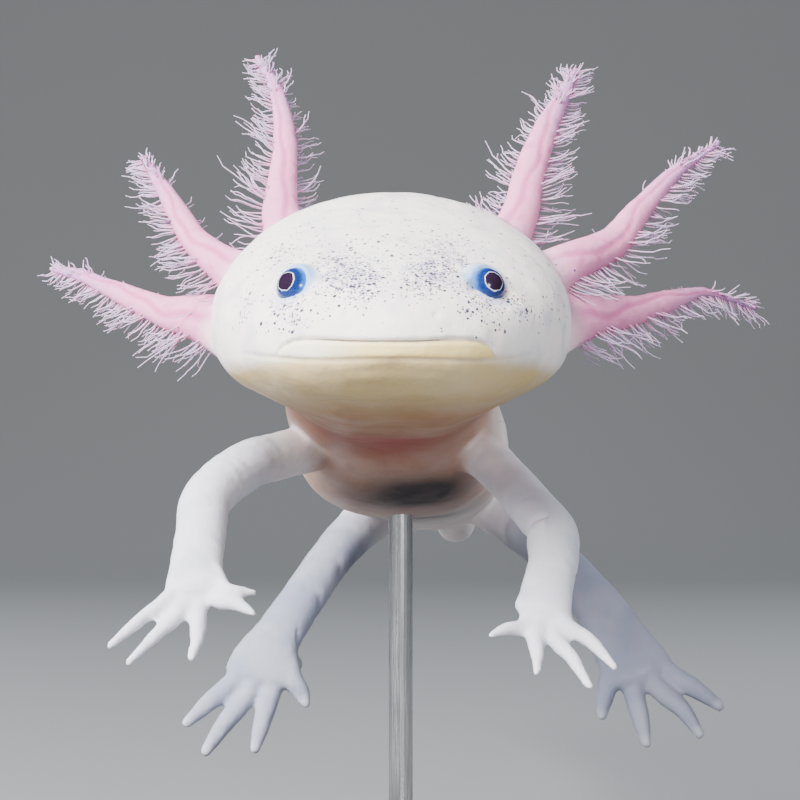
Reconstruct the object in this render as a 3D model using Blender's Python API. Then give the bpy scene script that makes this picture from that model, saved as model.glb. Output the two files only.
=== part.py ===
"""A pale axolotl, swimming, as a still life-size model on a plain display stand.

Metres, +Z up. The animal faces -Y and its left side is at +X. The origin is the middle of the
underside of the stand's base. The flesh is modelled whole, from lofted rings and tubes that a
voxel remesh fuses into one skin, and is then parted into named pieces by thin cuts.
"""

import math

import bmesh
import bpy
import numpy as np
from mathutils import Matrix, Vector

MM = 0.001

# Where the animal hangs over the base: `back` is counted from the widest slice of the head,
# towards the tail, and `up` from a level line through the throat.
HEAD_BACK = -48.0
SWIM_HEIGHT = 72.0

CUT = 0.3 * MM  # width of the thin cuts between neighbouring pieces
VOXEL = 0.4 * MM
FLESH_TRIANGLES = 3000
RING_SIDES = 40

# Head and stand sizes, millimetres.
SNOUT_LENGTH = 24.0
HEAD_HALF_WIDTH = 19.1
UPPER_FULLNESS = 2.05  # 2 makes a slice an ellipse, and more makes it squarer
JAW_FULLNESS = 2.75
BELLY_FULLNESS = 2.35
EYE_RADIUS = 2.1
EYE_MIDDLE = (9.3, -15.7, 11.1)  # of the left eyeball: side, back, up
EYE_LOOKS = (0.57, -0.74, 0.34)
LID_RADIUS = 2.75
LID_SET_BACK = 0.6  # from the eyeball's middle, so that the lid leaves its front bare
MOUTH_UP = 5.3
JAW_BACK = -6.0  # where the lower jaw ends, under the corners of the mouth
BASE_SIZE = (92.0, 136.0, 7.0)
BASE_CORNER = 14.0
BASE_EDGE = 1.2
ROD_RADIUS = 1.5
ROD_BACK = 42.0
ROD_SIDE = 1.0
ROD_TOP = -9.5  # inside the belly
COLLAR_RADIUS = 4.5
COLLAR_HEIGHT = 4.0

# The trunk, from snout to tail tip: back, side, top, bottom, level of the widest line, half
# width. The snout's half widths follow a quarter ellipse instead, so they are None.
BODY = (
    (-24.0, 0.0, 7.6, 4.2, 6.0, None),
    (-22.0, 0.0, 10.2, 2.0, 6.3, None),
    (-18.0, 0.0, 12.9, 0.3, 6.7, None),
    (-12.0, 0.0, 15.8, -0.6, 7.3, None),
    (-5.0, 0.0, 18.9, -1.0, 8.1, None),
    (0.0, 0.0, 20.9, -1.0, 8.6, 19.1),
    (5.0, 0.0, 22.5, -1.0, 8.9, 19.1),
    (9.0, 0.0, 22.9, -1.0, 9.0, 18.4),
    (14.0, -0.2, 21.9, -1.8, 8.2, 15.8),
    (20.0, -0.6, 18.8, -4.9, 6.2, 12.7),
    (28.0, -0.5, 14.2, -9.2, 2.6, 12.5),
    (36.0, 0.3, 9.8, -13.0, -2.0, 12.8),
    (44.0, 1.1, 6.6, -14.9, -5.4, 13.2),
    (55.0, 2.3, 4.4, -15.6, -6.2, 12.8),
    (66.0, 4.0, 0.9, -16.9, -8.2, 10.9),
    (78.0, 6.0, -4.2, -18.3, -11.2, 8.4),
    (92.0, 8.4, -5.6, -18.0, -11.6, 5.4),
    (105.0, 9.6, -5.3, -16.3, -10.8, 4.2),
    (120.0, 9.0, -4.9, -14.1, -9.5, 3.3),
    (135.0, 6.6, -4.6, -12.0, -8.3, 2.6),
    (150.0, 3.0, -4.3, -10.1, -7.2, 2.0),
    (165.0, -1.0, -4.2, -8.4, -6.3, 1.5),
    (178.0, -4.0, -4.3, -7.1, -5.7, 1.0),
    (187.0, -5.5, -4.7, -6.1, -5.4, 0.6),
)

# How far the middle of the throat hangs under the jaw: back, depth. It fades out sideways.
THROAT = (
    (-20.0, 0.0),
    (-12.0, 0.9),
    (-5.0, 1.7),
    (0.0, 2.2),
    (5.0, 2.8),
    (9.0, 3.2),
    (14.0, 2.6),
    (20.0, 0.7),
    (28.0, 0.0),
)
THROAT_HALF_WIDTH = 14.0

# Height of the fins over the flesh: back, upper fin, lower fin.
FINS = (
    (18.0, 0.0, 0.0),
    (30.0, 0.7, 0.0),
    (55.0, 1.5, 0.0),
    (78.0, 2.8, 0.0),
    (97.0, 4.4, 0.4),
    (105.0, 5.2, 1.8),
    (120.0, 6.0, 3.8),
    (135.0, 6.0, 4.4),
    (150.0, 5.3, 4.2),
    (165.0, 4.1, 3.3),
    (178.0, 2.5, 2.0),
    (188.0, 0.9, 0.8),
)
FIN_ROOT = 0.9  # half thickness where the fin leaves the flesh
FIN_EDGE = 0.35  # half thickness at its rim

# Each limb: points down its middle as (side, back, up, half width, half thickness), from
# inside the body to the middle of the hand or foot, then its digits.
FORELEG_RIGHT = (
    (-6.0, 31.0, -5.0, 3.0, 3.0),
    (-10.8, 26.0, -6.0, 2.75, 2.75),
    (-16.5, 18.6, -7.5, 2.85, 2.85),
    (-20.4, 11.0, -10.8, 2.85, 2.8),
    (-20.8, 4.4, -15.2, 2.75, 2.5),
    (-20.8, -0.4, -18.4, 2.95, 1.9),
    (-20.6, -3.0, -19.8, 3.3, 1.5),
)
HAND_RIGHT = (
    ((-22.8, -3.2, -20.2), (-26.0, -6.4, -22.8), (-28.8, -8.8, -25.2)),
    ((-21.8, -4.2, -21.4), (-24.2, -7.2, -24.2), (-26.8, -9.6, -26.8)),
    ((-20.2, -4.4, -22.0), (-20.0, -7.2, -24.4), (-20.4, -9.4, -26.4)),
    ((-18.6, -3.4, -20.4), (-16.2, -5.2, -21.2), (-14.3, -6.4, -22.1)),
    ((-17.6, -3.6, -19.6), (-16.0, -4.2, -20.0), (-14.3, -4.0, -20.2)),
)
FORELEG_LEFT = (
    (6.2, 32.0, -5.0, 3.2, 3.2),
    (10.4, 28.2, -6.4, 2.75, 2.8),
    (13.2, 22.6, -9.0, 2.6, 2.65),
    (16.4, 14.8, -12.7, 2.65, 2.65),
    (17.8, 10.0, -14.8, 2.8, 2.6),
    (17.9, 6.8, -17.0, 2.7, 2.4),
    (16.7, 2.4, -20.5, 2.8, 1.9),
    (16.1, -0.2, -22.3, 3.1, 1.5),
)
HAND_LEFT = (
    ((14.4, -0.6, -23.6), (12.3, -2.4, -24.1), (10.4, -4.0, -24.6)),
    ((15.4, -1.6, -24.4), (15.3, -4.0, -26.4), (15.1, -6.2, -28.2)),
    ((17.3, -1.6, -24.6), (18.9, -4.4, -27.0), (20.5, -6.8, -29.6)),
    ((18.2, -0.8, -23.3), (21.0, -3.0, -25.4), (23.3, -5.0, -27.9)),
)
HINDLEG_RIGHT = (
    (2.8, 76.4, -14.4, 4.0, 4.2),
    (-1.8, 71.0, -15.2, 3.6, 3.6),
    (-6.3, 64.8, -19.0, 3.05, 3.0),
    (-9.3, 61.0, -22.5, 2.9, 2.85),
    (-12.2, 57.0, -26.8, 2.95, 2.7),
    (-14.7, 54.0, -30.2, 3.2, 2.3),
    (-16.6, 51.8, -33.6, 4.2, 1.8),
    (-17.2, 51.0, -35.6, 4.8, 1.6),
)
FOOT_RIGHT = (
    ((-20.8, 51.0, -36.6), (-23.7, 50.0, -39.0), (-26.5, 49.2, -41.5)),
    ((-18.8, 50.4, -38.0), (-21.5, 49.2, -41.4), (-24.0, 48.2, -45.0)),
    ((-15.9, 50.4, -38.0), (-16.8, 49.2, -41.4), (-17.7, 48.2, -44.7)),
    ((-13.2, 51.0, -35.6), (-12.0, 50.6, -37.6), (-11.3, 50.2, -39.1)),
    ((-13.6, 53.8, -34.0), (-13.2, 57.4, -35.0), (-13.4, 60.4, -36.2)),
)
HINDLEG_LEFT = (
    (9.2, 78.0, -12.6, 3.7, 3.7),
    (14.6, 71.8, -15.6, 3.3, 3.3),
    (20.5, 65.4, -20.1, 3.0, 3.0),
    (25.6, 60.0, -25.6, 3.25, 2.9),
    (28.1, 57.0, -28.8, 3.6, 2.7),
    (29.9, 54.4, -31.9, 4.15, 2.2),
    (31.2, 52.8, -34.2, 4.7, 1.8),
    (31.8, 52.0, -35.6, 5.0, 1.6),
)
FOOT_LEFT = (
    ((36.3, 52.4, -35.8), (39.4, 51.6, -37.6), (42.2, 51.0, -39.6)),
    ((34.4, 51.6, -37.4), (37.2, 50.6, -39.8), (39.5, 49.6, -43.0)),
    ((31.2, 51.4, -38.0), (31.9, 50.2, -41.0), (32.6, 49.2, -44.1)),
    ((28.0, 52.0, -36.6), (27.3, 51.4, -39.0), (27.1, 51.0, -40.9)),
    ((30.4, 55.0, -34.2), (30.6, 58.8, -35.2), (31.2, 61.8, -36.4)),
)
# Radii of a digit at the wrist or ankle, at its knuckle, halfway out and at its tip.
FINGER_RADII = (1.3, 1.05, 0.82, 0.46)
TOE_RADII = (1.6, 1.4, 1.22, 0.74)
SPLIT_FINGER_RADII = (1.1, 0.85, 0.7, 0.42)

# Each gill: points up its stalk as (side, back, up, half width, half thickness), then the way
# its feathered rear side looks and how far its two rows of filaments spread from that.
GILLS = {
    "gill_right_upper": (
        (
            (-10.6, 7.0, 14.6, 2.6, 2.4),
            (-12.3, 9.8, 20.2, 2.15, 1.6),
            (-12.3, 13.4, 24.8, 1.7, 1.25),
            (-12.3, 17.4, 30.2, 1.35, 1.0),
            (-13.4, 21.4, 35.6, 0.95, 0.75),
            (-15.9, 25.0, 40.4, 0.5, 0.45),
        ),
        (-0.35, 0.93, 0.0),
        68.0,
    ),
    "gill_right_middle": (
        (
            (-14.0, 6.0, 12.0, 3.6, 2.6),
            (-18.6, 8.8, 15.0, 2.2, 1.8),
            (-22.2, 13.0, 18.1, 1.6, 1.35),
            (-25.25, 18.5, 22.6, 1.2, 1.0),
            (-27.4, 22.0, 25.8, 0.85, 0.75),
            (-29.4, 25.2, 28.6, 0.45, 0.45),
        ),
        (-0.45, 0.62, -0.64),
        48.0,
    ),
    "gill_right_lower": (
        (
            (-15.4, 5.0, 7.2, 4.2, 2.8),
            (-20.9, 8.6, 9.1, 2.8, 1.9),
            (-25.4, 13.0, 9.9, 1.95, 1.4),
            (-31.8, 19.0, 12.6, 1.25, 1.0),
            (-36.8, 23.4, 14.7, 0.8, 0.7),
            (-40.3, 26.5, 15.5, 0.45, 0.45),
        ),
        (-0.1, 0.6, -0.79),
        48.0,
    ),
    "gill_left_upper": (
        (
            (11.4, 7.0, 14.6, 2.7, 2.4),
            (14.2, 10.0, 20.6, 2.1, 1.6),
            (15.4, 13.6, 25.4, 1.85, 1.3),
            (17.7, 19.0, 31.2, 1.5, 1.05),
            (20.1, 22.8, 35.9, 0.95, 0.8),
            (21.5, 25.2, 38.9, 0.5, 0.45),
        ),
        (0.3, 0.95, 0.0),
        68.0,
    ),
    "gill_left_middle": (
        (
            (14.0, 6.0, 11.8, 3.6, 2.6),
            (19.5, 8.4, 15.0, 2.4, 1.9),
            (24.6, 13.0, 17.5, 1.95, 1.45),
            (28.3, 17.5, 21.7, 1.5, 1.1),
            (33.0, 22.0, 26.5, 0.98, 0.8),
            (38.5, 26.5, 30.3, 0.45, 0.45),
        ),
        (0.42, 0.6, -0.68),
        48.0,
    ),
    "gill_left_lower": (
        (
            (15.4, 5.0, 7.4, 4.2, 2.8),
            (20.8, 7.8, 9.2, 2.9, 1.9),
            (26.6, 13.0, 10.0, 1.9, 1.35),
            (32.0, 18.0, 11.5, 1.22, 1.0),
            (36.7, 22.0, 12.5, 0.62, 0.6),
            (43.0, 26.5, 10.9, 0.42, 0.42),
        ),
        (0.05, 0.6, -0.8),
        48.0,
    ),
}
GILL_FACE = Vector((0.0, -1.0, 0.25))  # the side that the flattened stalk turns forward
LIMB_FACE = Vector((0.0, -0.8, 0.55))  # the back of each hand and foot
FILAMENTS_PER_ROW = 7
LAST_FILAMENT = 0.97  # share of the stalk's length
ROOT_FILAMENT = 4.9  # length of the filaments near the head
TIP_FILAMENT = 2.0
FILAMENT_RADII = (0.42, 0.27)

COLOURS = {
    "skin": ((0.86, 0.82, 0.80, 1.0), 0.35),
    "gill": ((0.86, 0.52, 0.58, 1.0), 0.4),
    "eye": ((0.03, 0.06, 0.22, 1.0), 0.08),
    "stand_base": ((0.055, 0.058, 0.062, 1.0), 0.45),
    "stand_rod": ((0.6, 0.6, 0.6, 1.0), 0.25),
}


def at(side, back, up):
    """A place in the part's frame, from millimetres on the animal."""
    return Vector((side, HEAD_BACK + back, SWIM_HEIGHT + up)) * MM


def curve_through(knots, values, wanted):
    """Smooth curve through values at rising knots, with no overshoot between them."""
    knots = np.asarray(knots, float)
    values = np.asarray(values, float).reshape(len(knots), -1)
    step = np.diff(knots)[:, None]
    slope = np.diff(values, axis=0) / step
    tangent = np.zeros_like(values)
    tangent[0], tangent[-1] = slope[0], slope[-1]
    rising = slope[:-1] * slope[1:] > 0
    mean = 2 * slope[:-1] * slope[1:] / np.where(rising, slope[:-1] + slope[1:], 1)
    tangent[1:-1] = np.where(rising, mean, 0)
    wanted = np.clip(np.asarray(wanted, float), knots[0], knots[-1])
    i = np.clip(np.searchsorted(knots, wanted) - 1, 0, len(knots) - 2)
    h = step[i]
    t = (wanted - knots[i])[:, None] / h
    return (
        values[i] * (1 + 2 * t) * (1 - t) ** 2
        + tangent[i] * h * t * (1 - t) ** 2
        + values[i + 1] * t**2 * (3 - 2 * t)
        + tangent[i + 1] * h * t**2 * (t - 1)
    )


def path_through(points, count):
    """`count` rows along a rounded curve through the rows of `points`, evenly by length."""
    points = np.asarray(points, float)
    padded = np.vstack([2 * points[0] - points[1], points, 2 * points[-1] - points[-2]])
    rows = []
    for before, start, end, after in zip(padded, padded[1:], padded[2:], padded[3:]):
        for t in np.linspace(0, 1, 24, endpoint=False):
            rows.append(
                0.5
                * (
                    2 * start
                    + (end - before) * t
                    + (2 * before - 5 * start + 4 * end - after) * t**2
                    + (3 * start - before - 3 * end + after) * t**3
                )
            )
    rows = np.array([*rows, points[-1]])
    along = np.concatenate([[0], np.cumsum(np.linalg.norm(np.diff(rows[:, :3], axis=0), axis=1))])
    wanted = np.linspace(0, along[-1], count)
    return np.stack([np.interp(wanted, along, rows[:, k]) for k in range(rows.shape[1])], axis=1)


def bridge(bm, rings):
    """Joins rings of equal length into one closed, outward-facing body."""
    loops = [[bm.verts.new(point) for point in ring] for ring in rings]
    count = len(loops[0])
    faces = [bm.faces.new(loops[0][::-1]), bm.faces.new(loops[-1])]
    for near, far in zip(loops, loops[1:]):
        for i in range(count):
            j = (i + 1) % count
            faces.append(bm.faces.new((near[i], near[j], far[j], far[i])))
    bmesh.ops.recalc_face_normals(bm, faces=faces)


def body_profile(back):
    """Rows of side, top, bottom, level and half width at each distance back."""
    knots = [row[0] for row in BODY]
    rows = curve_through(knots, [row[1:5] for row in BODY], back)
    wide = [(row[0], row[5]) for row in BODY if row[5]]
    half = curve_through([w[0] for w in wide], [w[1] for w in wide], back)[:, 0]
    snout = np.clip(np.asarray(back) / SNOUT_LENGTH, -1, 0)
    half = np.where(np.asarray(back) < 0, HEAD_HALF_WIDTH * np.sqrt(1 - snout**2), half)
    return np.column_stack([rows, half])


def throat_depth(back, wide):
    """How far the throat hangs under the jaw at a distance from the middle."""
    depth = curve_through([row[0] for row in THROAT], [row[1] for row in THROAT], [back])[0, 0]
    fade = np.clip((abs(wide) / THROAT_HALF_WIDTH - 0.3) / 0.7, 0, 1)
    return depth * (1 - fade * fade * (3 - 2 * fade))


def add_body(bm):
    """The flesh from snout to tail tip, in upright rings that are blunt ovals."""
    snout = [-SNOUT_LENGTH * math.cos(math.radians(a)) for a in range(3, 90, 6)]
    rest = np.concatenate([np.arange(0, 100, 2.0), np.arange(100, 187.1, 3.0)])
    back = np.array([*snout, *rest])
    rings = []
    for b, (side, top, bottom, level, half) in zip(back, body_profile(back)):
        ring = []
        for k in range(RING_SIDES):
            a = 2 * math.pi * k / RING_SIDES
            c, s = math.cos(a), math.sin(a)
            below = np.interp(b, (8.0, 36.0), (JAW_FULLNESS, BELLY_FULLNESS))
            power = 2 / UPPER_FULLNESS if s > 0 else 2 / below
            rise = (top - level if s > 0 else level - bottom) * math.copysign(abs(s) ** power, s)
            wide = half * math.copysign(abs(c) ** power, c)
            hang = throat_depth(b, wide) if s < 0 else 0.0
            ring.append(at(side + wide, b, level + rise - hang))
        rings.append(ring)
    bridge(bm, rings)


def add_vent(bm):
    """The swelling round the vent, under the root of the tail."""
    made = bmesh.ops.create_icosphere(bm, subdivisions=3, radius=1.0)
    size = Matrix.Diagonal((3.0 * MM, 6.0 * MM, 3.6 * MM, 1.0))
    bmesh.ops.transform(bm, matrix=Matrix.Translation(at(9.0, 88.0, -17.2)) @ size, verts=made["verts"])


def eye_places():
    """The middle and the looking direction of the right and the left eyeball."""
    for turn in (-1, 1):
        looks = Vector((turn * EYE_LOOKS[0], *EYE_LOOKS[1:])).normalized()
        yield at(turn * EYE_MIDDLE[0], *EYE_MIDDLE[1:]), looks


def add_ball(bm, centre, radius, detail):
    made = bmesh.ops.create_icosphere(bm, subdivisions=detail, radius=radius)
    bmesh.ops.translate(bm, vec=centre, verts=made["verts"])


def add_fin(bm, upper):
    """One fin blade on the midline, from its root inside the flesh out to its rim."""
    first = 20.0 if upper else 98.0
    back = np.arange(first, 188.1, 3.0)
    column = 1 if upper else 2
    height = curve_through([f[0] for f in FINS], [f[column] for f in FINS], back)[:, 0]
    rings = []
    for b, h, (side, top, bottom, _, _) in zip(back, height, body_profile(back)):
        edge, turn = (top, 1) if upper else (bottom, -1)
        root = edge - turn * 1.2
        rim = edge + turn * max(h, 0.1)
        middle = root + 0.6 * (rim - root)
        ring = [(-FIN_ROOT, root), (FIN_ROOT, root), (FIN_EDGE * 1.4, middle)]
        ring += [(FIN_EDGE, rim), (-FIN_EDGE, rim), (-FIN_EDGE * 1.4, middle)]
        rings.append([at(side + x, b, z) for x, z in ring])
    bridge(bm, rings)


def add_tube(bm, points, face, sides=16, count=24):
    """A tube with flattened oval rings and a rounded far end. `face` is the flat side's way."""
    rows = path_through(points, count)
    middles = [at(*row[:3]) for row in rows]
    rings = []
    for i, (middle, row) in enumerate(zip(middles, rows)):
        ahead = (middles[min(i + 1, count - 1)] - middles[max(i - 1, 0)]).normalized()
        thin = (face - ahead * face.dot(ahead)).normalized()
        wide = ahead.cross(thin)
        ring = []
        for k in range(sides):
            a = 2 * math.pi * k / sides
            ring.append(middle + (wide * math.cos(a) * row[3] + thin * math.sin(a) * row[4]) * MM)
        rings.append(ring)
    for turn in (30, 60, 80):
        out = ahead * rows[-1][4] * math.sin(math.radians(turn)) * MM
        size = math.cos(math.radians(turn))
        rings.append([middles[-1] + out + (p - middles[-1]) * size for p in rings[count - 1]])
    bridge(bm, rings)


def add_limb(bm, leg, digits, radii):
    """A limb down to its palm or sole, and its digits, which all start at the wrist or ankle."""
    add_tube(bm, leg, LIMB_FACE, sides=20, count=36)
    for number, joints in enumerate(digits):
        split = leg is FORELEG_RIGHT and number == len(digits) - 1
        sizes = SPLIT_FINGER_RADII if split else radii
        joints = (leg[-3][:3], *joints)
        rows = [(*joint, size, size) for joint, size in zip(joints, sizes)]
        add_tube(bm, rows, LIMB_FACE, sides=12, count=18)


def new_object(name, mesh, finish):
    obj = bpy.data.objects.new(name, mesh)
    bpy.context.scene.collection.objects.link(obj)
    if finish:
        mesh.materials.clear()
        mesh.materials.append(bpy.data.materials[finish])
    return obj


def from_bmesh(name, bm, finish=None):
    mesh = bpy.data.meshes.new(name)
    bm.to_mesh(mesh)
    bm.free()
    return new_object(name, mesh, finish)


def applied(obj):
    """The object's mesh with its modifiers applied, in place of the old one."""
    graph = bpy.context.evaluated_depsgraph_get()
    mesh = bpy.data.meshes.new_from_object(obj.evaluated_get(graph), depsgraph=graph)
    obj.modifiers.clear()
    obj.data = mesh
    return obj


def boolean(obj, other, operation):
    modifier = obj.modifiers.new(operation.title(), "BOOLEAN")
    modifier.operation = operation
    modifier.solver = "EXACT"
    modifier.use_self = operation == "UNION"
    modifier.object = other
    applied(obj)
    bpy.data.objects.remove(other)
    return obj


def whole_flesh():
    """Everything that is flesh, as one closed skin."""
    bm = bmesh.new()
    add_body(bm)
    add_vent(bm)
    for centre, looks in eye_places():
        add_ball(bm, centre - looks * LID_SET_BACK * MM, LID_RADIUS * MM, 3)
    add_fin(bm, upper=True)
    add_fin(bm, upper=False)
    add_limb(bm, FORELEG_RIGHT, HAND_RIGHT, FINGER_RADII)
    add_limb(bm, FORELEG_LEFT, HAND_LEFT, FINGER_RADII)
    add_limb(bm, HINDLEG_RIGHT, FOOT_RIGHT, TOE_RADII)
    add_limb(bm, HINDLEG_LEFT, FOOT_LEFT, TOE_RADII)
    for stalk, _, _ in GILLS.values():
        add_tube(bm, stalk, GILL_FACE, sides=16, count=24)
    flesh = from_bmesh("head", bm, "skin")
    remesh = flesh.modifiers.new("Fuse", "REMESH")
    remesh.mode = "VOXEL"
    remesh.voxel_size = VOXEL
    smooth = flesh.modifiers.new("Relax", "SMOOTH")
    smooth.factor = 0.5
    smooth.iterations = 3
    applied(flesh)
    flesh.data.calc_loop_triangles()
    fewer = flesh.modifiers.new("Fewer", "DECIMATE")
    fewer.ratio = FLESH_TRIANGLES / len(flesh.data.loop_triangles)
    return applied(flesh)


def disc(centre, normal, radius):
    bm = bmesh.new()
    bmesh.ops.create_cone(bm, cap_ends=True, segments=24, radius1=radius, radius2=radius, depth=CUT)
    turned = normal.to_track_quat("Z", "Y").to_matrix().to_4x4()
    bmesh.ops.transform(bm, matrix=Matrix.Translation(centre) @ turned, verts=bm.verts)
    return from_bmesh("cutter", bm)


def islands(obj):
    """The separate closed bodies of an object, largest first, as lists of vertex indices."""
    bm = bmesh.new()
    bm.from_mesh(obj.data)
    bm.verts.ensure_lookup_table()
    seen, found = set(), []
    for vert in bm.verts:
        if vert.index in seen:
            continue
        group, queue = [], [vert]
        seen.add(vert.index)
        while queue:
            here = queue.pop()
            group.append(here.index)
            for edge in here.link_edges:
                other = edge.other_vert(here)
                if other.index not in seen:
                    seen.add(other.index)
                    queue.append(other)
        found.append(group)
    bm.free()
    return sorted(found, key=len, reverse=True)


def keep_only(obj, group):
    bm = bmesh.new()
    bm.from_mesh(obj.data)
    bm.verts.ensure_lookup_table()
    keep = set(group)
    gone = [v for v in bm.verts if v.index not in keep]
    bmesh.ops.delete(bm, geom=gone, context="VERTS")
    bm.to_mesh(obj.data)
    bm.free()


def sever(obj, cutter, beyond, name, finish):
    """Cuts obj in two. The body nearest to `beyond` becomes the new piece called `name`.

    Returns None, and leaves obj whole, if the cutter doesn't reach right across it.
    """
    whole = obj.data.copy()
    boolean(obj, cutter, "DIFFERENCE")
    groups = islands(obj)
    if len(groups) < 2:
        obj.data = whole
        return None
    places = [v.co.copy() for v in obj.data.vertices]
    nearest = min(groups[:2], key=lambda g: min((places[i] - beyond).length for i in g))
    rest = next(g for g in groups if g is not nearest)
    piece = new_object(name, obj.data.copy(), finish)
    keep_only(piece, nearest)
    keep_only(obj, rest)
    return piece


def divided(obj, cutter, beyond, name):
    """The new piece that `cutter` severs from obj, which has to go right through."""
    piece = sever(obj, cutter, beyond, name, "skin")
    if piece is None:
        raise RuntimeError(f"the cut for {name} doesn't go through")
    return piece


def cut_across(obj, points, share, name, finish):
    """Severs what lies beyond `share` of the way along a limb or stalk, or a little further.

    Returns the new piece and the share at which the cut goes through.
    """
    rows = path_through(points, 101)
    for i in range(round(share * 100), 90, 2):
        centre = at(*rows[i][:3])
        normal = (at(*rows[i + 1][:3]) - at(*rows[i - 1][:3])).normalized()
        radius = max(rows[i][3:]) * 1.15 + 0.45
        beyond = at(*rows[min(i + 6, 100)][:3])
        piece = sever(obj, disc(centre, normal, radius * MM), beyond, name, finish)
        if piece:
            return piece, i / 100
    raise RuntimeError(f"no cut for {name} goes through")


def part_limb(flesh, side, kind, leg, shares, names):
    """Splits a limb at its root, its middle joint and its wrist or ankle."""
    names = [f"{kind}_{side}_{name}" for name in names]
    upper, _ = cut_across(flesh, leg, shares[0], names[0], "skin")
    lower, _ = cut_across(upper, leg, shares[1], names[1], "skin")
    cut_across(lower, leg, shares[2], names[2], "skin")


def fin_ribbon(upper):
    """A thin sheet that follows the flesh's edge, to cut a fin off along its root."""
    first = 24.0 if upper else 95.5
    back = np.append(np.arange(first, 188.0, 5.0), 192.0)
    rings = []
    for b, (side, top, bottom, _, _) in zip(back, body_profile(back)):
        middle = top + 0.3 if upper else bottom - 0.3
        thick = CUT / MM / 2
        ring = [(-5.0, middle - thick), (5.0, middle - thick)]
        ring += [(5.0, middle + thick), (-5.0, middle + thick)]
        rings.append([at(side + x, b, z) for x, z in ring])
    bm = bmesh.new()
    bridge(bm, rings)
    return from_bmesh("cutter", bm)


def part_body(flesh):
    """Splits the middle of the animal into head, neck, trunk and three lengths of tail."""

    def slice_at(obj, back, radius, name):
        side, top, bottom, _, _ = body_profile([back])[0]
        centre = at(side, back, (top + bottom) / 2)
        toward = at(side, back + 4.0, (top + bottom) / 2)
        return divided(obj, disc(centre, Vector((0.0, 1.0, 0.0)), radius * MM), toward, name)

    neck = slice_at(flesh, 17.5, 24.0, "neck")
    trunk = slice_at(neck, 29.0, 22.0, "trunk")
    tail = slice_at(trunk, 95.0, 22.0, "tail_root")
    middle = slice_at(tail, 126.0, 22.0, "tail_middle")
    slice_at(middle, 156.0, 22.0, "tail_tip")


def eyes(head):
    """Hollows out each socket and puts a ball in it."""
    for name, (centre, _) in zip(("eye_right", "eye_left"), eye_places()):
        for radius, piece in ((EYE_RADIUS * MM + CUT, "socket"), (EYE_RADIUS * MM, name)):
            bm = bmesh.new()
            add_ball(bm, centre, radius, 2)
            made = from_bmesh(piece, bm, "eye")
            if piece == "socket":
                boolean(head, made, "DIFFERENCE")
    keep_only(head, islands(head)[0])


def jaw_cutter():
    """A sheet along the mouth that turns down in front of the throat."""
    half = CUT / MM / 2
    front, back, low = -30.0, JAW_BACK, -9.0
    profile = [(front, MOUTH_UP - half), (front, MOUTH_UP + half), (back + half, MOUTH_UP + half)]
    profile += [(back + half, low), (back - half, low), (back - half, MOUTH_UP - half)]
    bm = bmesh.new()
    bridge(bm, [[at(side, b, z) for b, z in profile] for side in (-23.0, 23.0)])
    return from_bmesh("cutter", bm)


def add_filaments(gill, stalk, first, rear, spread):
    """Joins two rows of filaments to the feathered side of a gill's stalk, from `first` on."""
    rows = path_through(stalk, 101)
    rear = Vector(rear).normalized()
    bm = bmesh.new()
    for row_turn in (-1, 1):
        for n in range(FILAMENTS_PER_ROW):
            step = (LAST_FILAMENT - first) / FILAMENTS_PER_ROW
            share = first + step * (n + (0.0 if row_turn < 0 else 0.45))
            i = round(share * 100)
            ahead = (at(*rows[i][:3]) - at(*rows[i - 1][:3])).normalized()
            out = (rear - ahead * rear.dot(ahead)).normalized()
            out = Matrix.Rotation(math.radians(spread * row_turn), 3, ahead) @ out
            length = ROOT_FILAMENT + (TIP_FILAMENT - ROOT_FILAMENT) * share
            across = ahead.cross(out).normalized()
            rings = []
            for reach, lean, radius in ((0.0, 0.0, FILAMENT_RADII[0]), (1.0, 0.35, FILAMENT_RADII[1])):
                middle = at(*rows[i][:3]) + (out + ahead * lean) * reach * (length + rows[i][4]) * MM
                corners = (ahead, across, -ahead, -across)
                rings.append([middle + way * radius * 1.35 * MM for way in corners])
            single = bmesh.new()
            bridge(single, rings)
            mesh = bpy.data.meshes.new("filament")
            single.to_mesh(mesh)
            single.free()
            bm.from_mesh(mesh)
            bpy.data.meshes.remove(mesh)
    boolean(gill, from_bmesh("filaments", bm), "UNION")


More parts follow.
